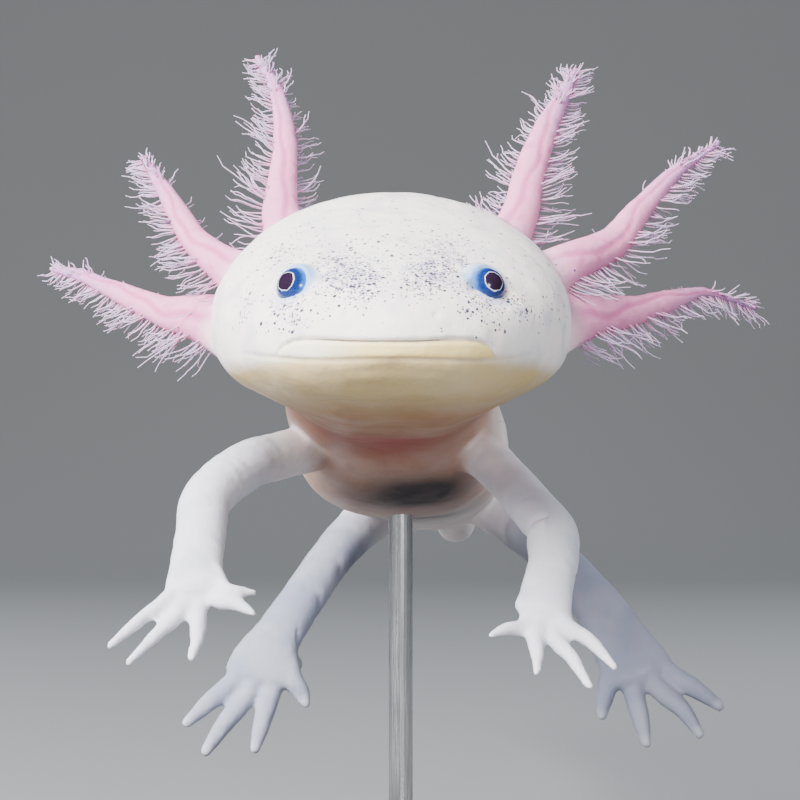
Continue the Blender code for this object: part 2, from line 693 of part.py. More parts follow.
def stand(trunk):
    """A round-cornered plate, a collar and one rod that ends in a socket in the belly."""
    wide, long, thick = (size * MM for size in BASE_SIZE)
    bm = bmesh.new()
    bmesh.ops.create_cube(bm, size=1.0)
    bmesh.ops.scale(bm, vec=(wide, long, thick), verts=bm.verts)
    bmesh.ops.translate(bm, vec=(0, 0, thick / 2), verts=bm.verts)
    upright = [e for e in bm.edges if abs(e.verts[0].co.z - e.verts[1].co.z) > thick / 2]
    bmesh.ops.bevel(bm, geom=upright, offset=BASE_CORNER * MM, segments=6, affect="EDGES", profile=0.5)
    rim = [e for e in bm.edges if min(v.co.z for v in e.verts) > thick * 0.9]
    bmesh.ops.bevel(bm, geom=rim, offset=BASE_EDGE * MM, segments=2, affect="EDGES", profile=0.5)
    from_bmesh("stand_base", bm, "stand_base")

    foot = at(ROD_SIDE, ROD_BACK, 0.0)
    foot.z = thick + CUT
    top = at(ROD_SIDE, ROD_BACK, ROD_TOP).z

    def cylinder(name, radius, low, high, finish):
        bm = bmesh.new()
        bmesh.ops.create_cone(bm, cap_ends=True, segments=24, radius1=radius, radius2=radius, depth=high - low)
        bmesh.ops.translate(bm, vec=(foot.x, foot.y, (low + high) / 2), verts=bm.verts)
        return from_bmesh(name, bm, finish)

    collar = cylinder("stand_collar", COLLAR_RADIUS * MM, foot.z, foot.z + COLLAR_HEIGHT * MM, "stand_rod")
    boolean(collar, cylinder("bore", ROD_RADIUS * MM + CUT, 0.0, 0.1, None), "DIFFERENCE")
    cylinder("stand_rod", ROD_RADIUS * MM, foot.z, top, "stand_rod")
    boolean(trunk, cylinder("socket", ROD_RADIUS * MM + CUT, 0.0, top + CUT, None), "DIFFERENCE")


def make_materials():
    for name, (colour, roughness) in COLOURS.items():
        material = bpy.data.materials.new(name)
        material.use_nodes = True
        surface = material.node_tree.nodes["Principled BSDF"]
        surface.inputs["Base Color"].default_value = colour
        surface.inputs["Roughness"].default_value = roughness
        surface.inputs["Metallic"].default_value = 1.0 if name == "stand_rod" else 0.0


def main():
    for obj in list(bpy.data.objects):
        bpy.data.objects.remove(obj)
    make_materials()
    flesh = whole_flesh()
    for name, (stalk, rear, spread) in GILLS.items():
        gill, root = cut_across(flesh, stalk, 0.14, name, "gill")
        add_filaments(gill, stalk, root + 0.05, rear, spread)
    arm = ("upper", "forearm", "hand")
    leg = ("thigh", "shin", "foot")
    part_limb(flesh, "right", "foreleg", FORELEG_RIGHT, (0.2, 0.52, 0.84), arm)
    part_limb(flesh, "left", "foreleg", FORELEG_LEFT, (0.2, 0.52, 0.84), arm)
    part_limb(flesh, "right", "hindleg", HINDLEG_RIGHT, (0.2, 0.5, 0.76), leg)
    part_limb(flesh, "left", "hindleg", HINDLEG_LEFT, (0.2, 0.5, 0.76), leg)
    divided(flesh, fin_ribbon(upper=False), at(8.0, 125.0, -17.0), "tail_fin_lower")
    divided(flesh, fin_ribbon(upper=True), at(8.0, 125.0, 0.0), "fin_upper")
    part_body(flesh)
    divided(flesh, jaw_cutter(), at(0.0, -20.0, 0.5), "lower_jaw")
    eyes(flesh)
    stand(bpy.data.objects["trunk"])
    for obj in bpy.data.objects:
        obj.data.shade_smooth()
        obj.data.set_sharp_from_angle(angle=math.radians(40))


main()
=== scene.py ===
"""A pale axolotl, swimming, as a life-size display model: the finished look of every surface.

Metres, +Z up. The animal faces -Y and its left side is at +X. Its flesh is one skin, made from the
same rings, tubes and blades as the construction model and fused, then carved with lips, folds and
grooves. The gill filaments are grown along each stalk, and the stand keeps its built pieces.
"""

import math

import bmesh
import bpy
import numpy as np
from bpy.props import FloatProperty, FloatVectorProperty, IntProperty, PointerProperty
from mathutils import Matrix, Vector


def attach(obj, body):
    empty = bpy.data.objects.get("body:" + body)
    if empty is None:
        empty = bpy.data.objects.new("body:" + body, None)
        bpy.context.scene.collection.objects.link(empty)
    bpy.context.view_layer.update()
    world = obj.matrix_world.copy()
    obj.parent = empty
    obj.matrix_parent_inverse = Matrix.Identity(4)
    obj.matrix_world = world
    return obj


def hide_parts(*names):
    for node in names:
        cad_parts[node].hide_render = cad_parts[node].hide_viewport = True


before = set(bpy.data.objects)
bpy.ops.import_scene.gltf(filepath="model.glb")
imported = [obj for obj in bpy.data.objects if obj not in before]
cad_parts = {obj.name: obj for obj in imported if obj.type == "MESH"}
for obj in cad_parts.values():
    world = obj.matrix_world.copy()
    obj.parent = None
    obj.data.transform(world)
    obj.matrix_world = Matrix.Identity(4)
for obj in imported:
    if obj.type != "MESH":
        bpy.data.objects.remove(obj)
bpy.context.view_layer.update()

bl_info = {
    "name": "Axolotl Display Model",
    "version": (1, 0, 0),
    "blender": (4, 5, 0),
    "location": "3D View > Sidebar > Axolotl",
    "description": "Makes the skin, eyes, gill filaments and stand finish of a life-size axolotl",
    "category": "Add Mesh",
}

MM = 0.001
BODY_NAME = "root"
SEED = 11

# Where the animal hangs over the base: `back` is counted from the widest slice of the head,
# towards the tail, and `up` from a level line through the throat.
HEAD_BACK = -48.0
SWIM_HEIGHT = 72.0
HOME = np.array([0.0, HEAD_BACK, SWIM_HEIGHT])

# Head sizes, millimetres.
SNOUT_LENGTH = 24.0
HEAD_HALF_WIDTH = 19.1
UPPER_FULLNESS = 2.05  # 2 makes a slice an ellipse, and more makes it squarer
JAW_FULLNESS = 2.75
BELLY_FULLNESS = 2.35
EYE_RADIUS = 2.1
EYE_MIDDLE = (9.3, -15.7, 11.1)  # of the left eyeball: side, back, up
EYE_LOOKS = ((-0.57, -0.74, 0.34), (0.46, -0.82, 0.33))  # the right eye's way, then the left's
NOSTRIL = (4.4, -23.2, 8.2)  # of the left one: side, back, up
LID_RADIUS = 2.75
LID_SET_BACK = 0.6
EYE_GAP = 0.14  # between the eyeball and the skin round it
EYE_SINK = 0.82  # share of the eyeball's radius at which the skin lies behind its front
EYE_OPENING = 62.0  # degrees from the way the eye looks out to the rim of the skin

RING_SIDES = 96
LIMB_SIDES = 28
DIGIT_SIDES = 20
STALK_SIDES = 28
STALK_STEPS = 90  # lengths that a gill's stalk is measured in

# The edge of the upper lip, from the middle of the mouth out to its corner: side, up.
MOUTH = (
    (0.0, 5.61),
    (3.5, 5.66),
    (6.0, 5.82),
    (8.0, 5.84),
    (9.0, 5.7),
    (9.9, 5.3),
    (10.4, 4.85),
    (10.7, 4.3),
)
MOUTH_HALF = 10.7
MOUTH_SIDE = -0.5
# The fold under the lower lip: side, up.
LIP_FOLD = (
    (-15.5, 4.9),
    (-13.1, 4.35),
    (-10.5, 4.1),
    (-6.5, 3.86),
    (0.5, 3.97),
    (7.5, 3.86),
    (11.5, 4.1),
    (16.0, 5.1),
)
# Where the dark specks gather: side, back, up, size, strength.
SPECK_PATCHES = (
    (-4.2, -18.4, 12.2, 2.3, 1.3),
    (-2.6, -19.8, 10.6, 1.9, 1.2),
    (-6.0, -15.6, 14.4, 2.4, 0.6),
    (4.4, -18.0, 12.8, 2.2, 1.4),
    (2.8, -19.6, 11.0, 1.7, 1.1),
    (6.4, -15.0, 15.0, 2.0, 0.9),
    (5.6, -11.5, 16.8, 2.2, 0.6),
    (-9.4, -18.0, 8.6, 2.0, 1.3),
    (-13.4, -13.6, 9.0, 1.4, 0.9),
    (8.4, -18.2, 9.0, 2.0, 1.3),
    (12.0, -15.4, 8.6, 1.8, 1.0),
    (15.0, -10.0, 8.4, 1.6, 0.5),
    (0.0, -14.0, 15.6, 4.5, 0.10),
    (-11.0, -9.0, 14.6, 2.2, 0.4),
)
RIB_PITCH = 4.1
TAIL_PITCH = 4.4

FINEST = 0.33 * MM  # mesh size at which the flesh is fused
SKIN_TRIANGLES = 186000
THREAD_SECTIONS = 9
FIRST_THREAD = 0.11  # share of the stalk's length
LAST_THREAD = 0.995
TIP_THREADS = 8
BAKE_PATCH = 0.003

# The body, from snout to tail tip: back, side, top, bottom, level of the widest line, half
# width. The snout's half widths follow a quarter ellipse instead, so they are None.
BODY = (
    (-24.0, 0.0, 7.6, 4.2, 6.0, None),
    (-22.0, 0.0, 10.2, 2.0, 6.3, None),
    (-18.0, 0.0, 12.9, 0.3, 6.7, None),
    (-12.0, 0.0, 15.8, -0.6, 7.3, None),
    (-5.0, 0.0, 18.9, -1.0, 8.1, None),
    (0.0, 0.0, 20.9, -1.0, 8.6, 19.1),
    (5.0, 0.0, 22.5, -1.0, 8.9, 19.1),
    (9.0, 0.0, 22.9, -1.0, 9.0, 18.4),
    (14.0, -0.2, 21.9, -1.8, 8.2, 15.8),
    (20.0, -0.6, 18.8, -4.9, 6.2, 12.7),
    (28.0, -0.5, 14.2, -9.2, 2.6, 12.5),
    (36.0, 0.3, 9.8, -13.0, -2.0, 12.8),
    (44.0, 1.1, 6.6, -14.9, -5.4, 13.2),
    (55.0, 2.3, 4.4, -15.6, -6.2, 12.8),
    (66.0, 4.0, 0.9, -16.9, -8.2, 10.9),
    (78.0, 6.0, -4.2, -18.3, -11.2, 8.4),
    (92.0, 8.4, -5.6, -18.0, -11.6, 5.4),
    (105.0, 9.6, -5.3, -16.3, -10.8, 4.2),
    (120.0, 9.0, -4.9, -14.1, -9.5, 3.3),
    (135.0, 6.6, -4.6, -12.0, -8.3, 2.6),
    (150.0, 3.0, -4.3, -10.1, -7.2, 2.0),
    (165.0, -1.0, -4.2, -8.4, -6.3, 1.5),
    (178.0, -4.0, -4.3, -7.1, -5.7, 1.0),
    (187.0, -5.5, -4.7, -6.1, -5.4, 0.6),
)

# How far the middle of the throat hangs under the jaw: back, depth. It fades out sideways.
THROAT = (
    (-20.0, 0.0),
    (-12.0, 0.9),
    (-5.0, 1.7),
    (0.0, 2.2),
    (5.0, 2.8),
    (9.0, 3.2),
    (14.0, 2.6),
    (20.0, 0.7),
    (28.0, 0.0),
)
THROAT_HALF_WIDTH = 14.0

# Height of the fins over the flesh: back, upper fin, lower fin.
FINS = (
    (18.0, 0.0, 0.0),
    (30.0, 0.7, 0.0),
    (55.0, 1.5, 0.0),
    (78.0, 2.8, 0.0),
    (97.0, 4.4, 0.4),
    (105.0, 5.2, 1.8),
    (120.0, 6.0, 3.8),
    (135.0, 6.0, 4.4),
    (150.0, 5.3, 4.2),
    (165.0, 4.1, 3.3),
    (178.0, 2.5, 2.0),
    (188.0, 0.9, 0.8),
)
FIN_ROOT = 0.9  # half thickness where the fin leaves the flesh
FIN_EDGE = 0.35  # half thickness at its rim

# Each limb: points down its middle as (side, back, up, half width, half thickness), from
# inside the body to the middle of the hand or foot, then its digits.
FORELEG_RIGHT = (
    (-6.0, 31.0, -5.0, 3.0, 3.0),
    (-10.8, 26.0, -6.0, 2.75, 2.75),
    (-16.5, 18.6, -7.5, 2.85, 2.85),
    (-20.4, 11.0, -10.8, 2.85, 2.8),
    (-20.8, 4.4, -15.2, 2.75, 2.5),
    (-20.8, -0.4, -18.4, 2.95, 1.9),
    (-20.6, -3.0, -19.8, 3.3, 1.5),
)
HAND_RIGHT = (
    ((-22.8, -3.2, -20.2), (-26.0, -6.4, -22.8), (-28.8, -8.8, -25.2)),
    ((-21.8, -4.2, -21.4), (-24.2, -7.2, -24.2), (-26.8, -9.6, -26.8)),
    ((-20.2, -4.4, -22.0), (-20.0, -7.2, -24.4), (-20.4, -9.4, -26.4)),
    ((-18.6, -3.4, -20.4), (-16.2, -5.2, -21.2), (-14.3, -6.4, -22.1)),
    ((-17.6, -3.6, -19.6), (-16.0, -4.2, -20.0), (-14.3, -4.0, -20.2)),
)
FORELEG_LEFT = (
    (6.2, 32.0, -5.0, 3.2, 3.2),
    (10.4, 28.2, -6.4, 2.75, 2.8),
    (13.2, 22.6, -9.0, 2.6, 2.65),
    (16.4, 14.8, -12.7, 2.65, 2.65),
    (17.8, 10.0, -14.8, 2.8, 2.6),
    (17.9, 6.8, -17.0, 2.7, 2.4),
    (16.7, 2.4, -20.5, 2.8, 1.9),
    (16.1, -0.2, -22.3, 3.1, 1.5),
)
HAND_LEFT = (
    ((14.4, -0.6, -23.6), (12.3, -2.4, -24.1), (10.4, -4.0, -24.6)),
    ((15.4, -1.6, -24.4), (15.3, -4.0, -26.4), (15.1, -6.2, -28.2)),
    ((17.3, -1.6, -24.6), (18.9, -4.4, -27.0), (20.5, -6.8, -29.6)),
    ((18.2, -0.8, -23.3), (21.0, -3.0, -25.4), (23.3, -5.0, -27.9)),
)
HINDLEG_RIGHT = (
    (2.8, 76.4, -14.4, 4.0, 4.2),
    (-1.8, 71.0, -15.2, 3.6, 3.6),
    (-6.3, 64.8, -19.0, 3.05, 3.0),
    (-9.3, 61.0, -22.5, 2.9, 2.85),
    (-12.2, 57.0, -26.8, 2.95, 2.7),
    (-14.7, 54.0, -30.2, 3.2, 2.3),
    (-16.6, 51.8, -33.6, 4.2, 1.8),
    (-17.2, 51.0, -35.6, 4.8, 1.6),
)
FOOT_RIGHT = (
    ((-20.8, 51.0, -36.6), (-23.7, 50.0, -39.0), (-26.5, 49.2, -41.5)),
    ((-18.8, 50.4, -38.0), (-21.5, 49.2, -41.4), (-24.0, 48.2, -45.0)),
    ((-15.9, 50.4, -38.0), (-16.8, 49.2, -41.4), (-17.7, 48.2, -44.7)),
    ((-13.2, 51.0, -35.6), (-12.0, 50.6, -37.6), (-11.3, 50.2, -39.1)),
    ((-13.6, 53.8, -34.0), (-13.2, 57.4, -35.0), (-13.4, 60.4, -36.2)),
)
HINDLEG_LEFT = (
    (9.2, 78.0, -12.6, 3.7, 3.7),
    (14.6, 71.8, -15.6, 3.3, 3.3),
    (20.5, 65.4, -20.1, 3.0, 3.0),
    (25.6, 60.0, -25.6, 3.25, 2.9),
    (28.1, 57.0, -28.8, 3.6, 2.7),
    (29.9, 54.4, -31.9, 4.15, 2.2),
    (31.2, 52.8, -34.2, 4.7, 1.8),
    (31.8, 52.0, -35.6, 5.0, 1.6),
)
FOOT_LEFT = (
    ((36.3, 52.4, -35.8), (39.4, 51.6, -37.6), (42.2, 51.0, -39.6)),
    ((34.4, 51.6, -37.4), (37.2, 50.6, -39.8), (39.5, 49.6, -43.0)),
    ((31.2, 51.4, -38.0), (31.9, 50.2, -41.0), (32.6, 49.2, -44.1)),
    ((28.0, 52.0, -36.6), (27.3, 51.4, -39.0), (27.1, 51.0, -40.9)),
    ((30.4, 55.0, -34.2), (30.6, 58.8, -35.2), (31.2, 61.8, -36.4)),
)
# Radii of a digit at the wrist or ankle, at its knuckle, halfway out and at its tip.
FINGER_RADII = (1.3, 1.05, 0.82, 0.46)
TOE_RADII = (1.6, 1.4, 1.22, 0.74)
SPLIT_FINGER_RADII = (1.1, 0.85, 0.7, 0.42)

# Each gill: points up its stalk as (side, back, up, half width, half thickness), then the way
# its feathered rear side looks and how far its two rows of filaments spread from that.
GILLS = {
    "gill_right_upper": (
        (
            (-10.6, 7.0, 14.6, 2.6, 2.4),
            (-12.3, 9.8, 20.2, 2.15, 1.6),
            (-12.3, 13.4, 24.8, 1.7, 1.25),
            (-12.3, 17.4, 30.2, 1.35, 1.0),
            (-13.4, 21.4, 35.6, 0.95, 0.75),
            (-15.9, 25.0, 40.4, 0.5, 0.45),
        ),
        (-0.35, 0.93, 0.0),
        68.0,
    ),
    "gill_right_middle": (
        (
            (-14.0, 6.0, 12.0, 3.6, 2.6),
            (-18.6, 8.8, 15.0, 2.2, 1.8),
            (-22.2, 13.0, 18.1, 1.6, 1.35),
            (-25.25, 18.5, 22.6, 1.2, 1.0),
            (-27.4, 22.0, 25.8, 0.85, 0.75),
            (-29.4, 25.2, 28.6, 0.45, 0.45),
        ),
        (-0.45, 0.62, -0.64),
        48.0,
    ),
    "gill_right_lower": (
        (
            (-15.4, 5.0, 7.2, 4.2, 2.8),
            (-20.9, 8.6, 9.1, 2.8, 1.9),
            (-25.4, 13.0, 9.9, 1.95, 1.4),
            (-31.8, 19.0, 12.6, 1.25, 1.0),
            (-36.8, 23.4, 14.7, 0.8, 0.7),
            (-40.3, 26.5, 15.5, 0.45, 0.45),
        ),
        (-0.1, 0.6, -0.79),
        48.0,
    ),
    "gill_left_upper": (
        (
            (11.4, 7.0, 14.6, 2.7, 2.4),
            (14.2, 10.0, 20.6, 2.1, 1.6),
            (15.4, 13.6, 25.4, 1.85, 1.3),
            (17.7, 19.0, 31.2, 1.5, 1.05),
            (20.1, 22.8, 35.9, 0.95, 0.8),
            (21.5, 25.2, 38.9, 0.5, 0.45),
        ),
        (0.3, 0.95, 0.0),
        68.0,
    ),
    "gill_left_middle": (
        (
            (14.0, 6.0, 11.8, 3.6, 2.6),
            (19.5, 8.4, 15.0, 2.4, 1.9),
            (24.6, 13.0, 17.5, 1.95, 1.45),
            (28.3, 17.5, 21.7, 1.5, 1.1),
            (33.0, 22.0, 26.5, 0.98, 0.8),
            (38.5, 26.5, 30.3, 0.45, 0.45),
        ),
        (0.42, 0.6, -0.68),
        48.0,
    ),
    "gill_left_lower": (
        (
            (15.4, 5.0, 7.4, 4.2, 2.8),
            (20.8, 7.8, 9.2, 2.9, 1.9),
            (26.6, 13.0, 10.0, 1.9, 1.35),
            (32.0, 18.0, 11.5, 1.22, 1.0),
            (36.7, 22.0, 12.5, 0.62, 0.6),
            (43.0, 26.5, 10.9, 0.42, 0.42),
        ),
        (0.05, 0.6, -0.8),
        48.0,
    ),
}
GILL_FACE = Vector((0.0, -1.0, 0.25))  # the side that the flattened stalk turns forward
LIMB_FACE = Vector((0.0, -0.8, 0.55))  # the back of each hand and foot
LIMBS = (
    (FORELEG_RIGHT, HAND_RIGHT),
    (FORELEG_LEFT, HAND_LEFT),
    (HINDLEG_RIGHT, FOOT_RIGHT),
    (HINDLEG_LEFT, FOOT_LEFT),
)

# The stage, in metres.
PAPER_BACK = 1.1  # how far behind the middle the paper's backdrop stands
PAPER_HALF_WIDTH = 4.0
PAPER_TOP = 3.0
AIR_STRENGTH = 0.22
LAMP_AIM = Vector((0.0, -0.03, 0.075))
# Each lamp: its power's name on the stage, its place, the width of its disc, its colour, and
# whether shiny surfaces mirror it.
LAMPS = {
    "key_lamp": ("key", (-0.36, -0.40, 0.42), 0.45, (1.0, 0.99, 0.97), False),
    "front_lamp": ("front", (0.22, -0.60, 0.22), 0.16, (0.96, 0.98, 1.0), True),
    "rim_lamp_left": ("rims", (0.45, 0.30, 0.35), 0.30, (0.88, 0.94, 1.0), False),
    "rim_lamp_right": ("rims", (-0.45, 0.30, 0.35), 0.30, (0.88, 0.94, 1.0), False),
}


def at(side, back, up):
    """A place in the part's frame, from millimetres on the animal."""
    return Vector((side, HEAD_BACK + back, SWIM_HEIGHT + up)) * MM


def curve_through(knots, values, wanted):
    """Smooth curve through values at rising knots, with no overshoot between them."""
    knots = np.asarray(knots, float)
    values = np.asarray(values, float).reshape(len(knots), -1)
    step = np.diff(knots)[:, None]
    slope = np.diff(values, axis=0) / step
    tangent = np.zeros_like(values)
    tangent[0], tangent[-1] = slope[0], slope[-1]
    rising = slope[:-1] * slope[1:] > 0
    mean = 2 * slope[:-1] * slope[1:] / np.where(rising, slope[:-1] + slope[1:], 1)
    tangent[1:-1] = np.where(rising, mean, 0)
    wanted = np.clip(np.asarray(wanted, float), knots[0], knots[-1])
    i = np.clip(np.searchsorted(knots, wanted) - 1, 0, len(knots) - 2)
    h = step[i]
    t = (wanted - knots[i])[:, None] / h
    return (
        values[i] * (1 + 2 * t) * (1 - t) ** 2
        + tangent[i] * h * t * (1 - t) ** 2
        + values[i + 1] * t**2 * (3 - 2 * t)
        + tangent[i + 1] * h * t**2 * (t - 1)
    )


def path_through(points, count):
    """`count` rows along a rounded curve through the rows of `points`, evenly by length."""
    points = np.asarray(points, float)
    padded = np.vstack([2 * points[0] - points[1], points, 2 * points[-1] - points[-2]])
    rows = []
    for before, start, end, after in zip(padded, padded[1:], padded[2:], padded[3:]):
        for t in np.linspace(0, 1, 24, endpoint=False):
            rows.append(
                0.5
                * (
                    2 * start
                    + (end - before) * t
                    + (2 * before - 5 * start + 4 * end - after) * t**2
                    + (3 * start - before - 3 * end + after) * t**3
                )
            )
    rows = np.array([*rows, points[-1]])
    along = np.concatenate([[0], np.cumsum(np.linalg.norm(np.diff(rows[:, :3], axis=0), axis=1))])
    wanted = np.linspace(0, along[-1], count)
    return np.stack([np.interp(wanted, along, rows[:, k]) for k in range(rows.shape[1])], axis=1)


def animal(places):
    """Millimetres on the animal, as rows of side, back and up, from places in metres."""
    return np.asarray(places, float) / MM - HOME


def smooth_step(value, low, high):
    t = np.clip((np.asarray(value, float) - low) / (high - low), 0, 1)
    return t * t * (3 - 2 * t)


def bump(distance, width):
    return np.exp(-((distance / width) ** 2))


def blob(rows, centre, size):
    """A soft oval patch: 1 at its centre, falling off over `size` millimetres each way."""
    return np.exp(-(((rows - np.array(centre)) / np.array(size)) ** 2).sum(axis=1))


def ripple(rows, size, waves=24, seed=SEED):
    """A smooth random swelling between about -1 and 1, with humps `size` millimetres across."""
    rng = np.random.default_rng(seed)
    way = rng.normal(size=(waves, 3))
    way /= np.linalg.norm(way, axis=1)[:, None]
    pitch = 2 * math.pi / (size * rng.uniform(0.7, 1.6, waves))
    phase = rng.uniform(0, 2 * math.pi, waves)
    total = np.zeros(len(rows))
    for k in range(waves):
        total += np.sin(rows @ way[k] * pitch[k] + phase[k])
    return total / math.sqrt(waves)


def bridge(bm, rings):
    """Joins rings of equal length into one closed, outward-facing body."""
    loops = [[bm.verts.new(point) for point in ring] for ring in rings]
    count = len(loops[0])
    faces = [bm.faces.new(loops[0][::-1]), bm.faces.new(loops[-1])]
    for near, far in zip(loops, loops[1:]):
        for i in range(count):
            j = (i + 1) % count
            faces.append(bm.faces.new((near[i], near[j], far[j], far[i])))
    bmesh.ops.recalc_face_normals(bm, faces=faces)


def body_profile(back):
    """Rows of side, top, bottom, level and half width at each distance back."""
    knots = [row[0] for row in BODY]
    rows = curve_through(knots, [row[1:5] for row in BODY], back)
    wide = [(row[0], row[5]) for row in BODY if row[5]]
    half = curve_through([w[0] for w in wide], [w[1] for w in wide], back)[:, 0]
    snout = np.clip(np.asarray(back) / SNOUT_LENGTH, -1, 0)
    half = np.where(np.asarray(back) < 0, HEAD_HALF_WIDTH * np.sqrt(1 - snout**2), half)
    return np.column_stack([rows, half])


def throat_depth(back, wide):
    """How far the throat hangs under the jaw at each distance from the middle."""
    depth = curve_through([row[0] for row in THROAT], [row[1] for row in THROAT], [back])[0, 0]
    return depth * (1 - smooth_step(np.abs(wide), 0.3 * THROAT_HALF_WIDTH, THROAT_HALF_WIDTH))


def add_body(bm):
    """The flesh from snout to tail tip, in upright rings that are blunt ovals."""
    snout = [-SNOUT_LENGTH * math.cos(math.radians(a)) for a in range(2, 90, 3)]
    rest = np.concatenate([np.arange(0, 100, 1.0), np.arange(100, 187.1, 1.5)])
    back = np.array([*snout, *rest])
    turns = 2 * math.pi * np.arange(RING_SIDES) / RING_SIDES
    across, rise = np.cos(turns), np.sin(turns)
    rings = []
    for b, (side, top, bottom, level, half) in zip(back, body_profile(back)):
        below = np.interp(b, (8.0, 36.0), (JAW_FULLNESS, BELLY_FULLNESS))
        power = np.where(rise > 0, 2 / UPPER_FULLNESS, 2 / below)
        height = np.where(rise > 0, top - level, level - bottom)
        up = level + height * np.sign(rise) * np.abs(rise) ** power
        wide = half * np.sign(across) * np.abs(across) ** power
        out = side + wide
        up -= np.where(rise < 0, throat_depth(b, wide), 0)
        rings.append([at(x, b, z) for x, z in zip(out, up)])
    bridge(bm, rings)


def add_vent(bm):
    """The swelling round the vent, under the root of the tail."""
    made = bmesh.ops.create_icosphere(bm, subdivisions=4, radius=1.0)
    size = Matrix.Diagonal((3.0 * MM, 6.0 * MM, 3.6 * MM, 1.0))
    shape = Matrix.Translation(at(9.0, 88.0, -17.2)) @ size
    bmesh.ops.transform(bm, matrix=shape, verts=made["verts"])


def eye_places():
    """The middle and the looking direction of the right and the left eyeball."""
    for turn, looks in zip((-1, 1), EYE_LOOKS):
        yield at(turn * EYE_MIDDLE[0], *EYE_MIDDLE[1:]), Vector(looks).normalized()


def add_fin(bm, upper):
    """One fin blade on the midline, from its root inside the flesh out to its rim."""
    first = 20.0 if upper else 98.0
    back = np.arange(first, 188.1, 1.5)
    height = curve_through([f[0] for f in FINS], [f[1 if upper else 2] for f in FINS], back)[:, 0]
    rings = []
    for b, h, (side, top, bottom, _, _) in zip(back, height, body_profile(back)):
        edge, turn = (top, 1) if upper else (bottom, -1)
        root = edge - turn * 1.2
        rim = edge + turn * max(h, 0.1)
        half = [(FIN_ROOT, root)]
        for share in (0.25, 0.5, 0.75):
            thick = FIN_ROOT + (FIN_EDGE - FIN_ROOT) * share**0.6
            half.append((thick, root + (rim - root) * share))
        half += [(FIN_EDGE, rim - turn * 0.2), (FIN_EDGE * 0.6, rim)]
        ring = half + [(-x, z) for x, z in reversed(half)]
        rings.append([at(side + x, b, z) for x, z in ring])
    bridge(bm, rings)


def add_tube(bm, points, face, sides, count):
    """A tube with flattened oval rings and a rounded far end. `face` is the flat side's way."""
    rows = path_through(points, count)
    middles = [at(*row[:3]) for row in rows]
    turns = [2 * math.pi * k / sides for k in range(sides)]
    rings = []
    for i, (middle, row) in enumerate(zip(middles, rows)):
        ahead = (middles[min(i + 1, count - 1)] - middles[max(i - 1, 0)]).normalized()
        thin = (face - ahead * face.dot(ahead)).normalized()
        wide = ahead.cross(thin)
        ring = []
        for a in turns:
            out = wide * math.cos(a) * row[3] + thin * math.sin(a) * row[4]
            ring.append(middle + out * MM)
        rings.append(ring)
    for turn in (20, 40, 60, 80):
        out = ahead * rows[-1][4] * math.sin(math.radians(turn)) * MM
        size = math.cos(math.radians(turn))
        rings.append([middles[-1] + out + (p - middles[-1]) * size for p in rings[count - 1]])
    bridge(bm, rings)


def digit_rows(leg, joints, number):
    """Points down one digit, from the wrist or ankle out, each with its radius."""
    sizes = TOE_RADII if leg in (HINDLEG_RIGHT, HINDLEG_LEFT) else FINGER_RADII
    if leg is FORELEG_RIGHT and number == len(HAND_RIGHT) - 1:
        sizes = SPLIT_FINGER_RADII
    return [(*joint, size, size) for joint, size in zip((leg[-3][:3], *joints), sizes)]


def new_object(name, mesh, finish=None):
    obj = bpy.data.objects.new(name, mesh)
    bpy.context.scene.collection.objects.link(obj)
    if finish:
        mesh.materials.append(finish)
    return obj


def from_bmesh(name, bm, finish=None):
    mesh = bpy.data.meshes.new(name)
    bm.to_mesh(mesh)
    bm.free()
    return new_object(name, mesh, finish)


def applied(obj):
    """The object with its modifiers applied to a plain mesh."""
    graph = bpy.context.evaluated_depsgraph_get()
    mesh = bpy.data.meshes.new_from_object(obj.evaluated_get(graph), depsgraph=graph)
    obj.modifiers.clear()
    old = obj.data
    obj.data = mesh
    bpy.data.meshes.remove(old)
    return obj


def places_of(mesh):
    """The mesh's vertices as rows in metres."""
    flat = np.empty(len(mesh.vertices) * 3, np.float32)
    mesh.vertices.foreach_get("co", flat)
    return flat.reshape(-1, 3).astype(float)


def normals_of(mesh):
    flat = np.empty(len(mesh.vertices) * 3, np.float32)
    mesh.vertex_normals.foreach_get("vector", flat)
    return flat.reshape(-1, 3).astype(float)


def move_to(mesh, places):
    mesh.vertices.foreach_set("co", places.astype(np.float32).ravel())
    mesh.update()


def nearest_share(rows, points, reach=6.0, count=90):
    """How far along a path each place is, 0 to 1, and its distance from it over its half width.

    Places more than `reach` millimetres outside the path's box are left at a distance of 9.
    """
    path = path_through(points, count)
    share = np.zeros(len(rows))
    distance = np.full(len(rows), 9.0)
    low, high = path[:, :3].min(axis=0) - reach, path[:, :3].max(axis=0) + reach
    inside = np.flatnonzero(((rows > low) & (rows < high)).all(axis=1))
    for part in np.array_split(inside, max(1, len(inside) // 20000)):
        gap = np.linalg.norm(rows[part, None, :] - path[None, :, :3], axis=2)
        best = gap.argmin(axis=1)
        share[part] = best / (count - 1)
        distance[part] = gap[np.arange(len(part)), best] / path[best, 3]
    return share, distance


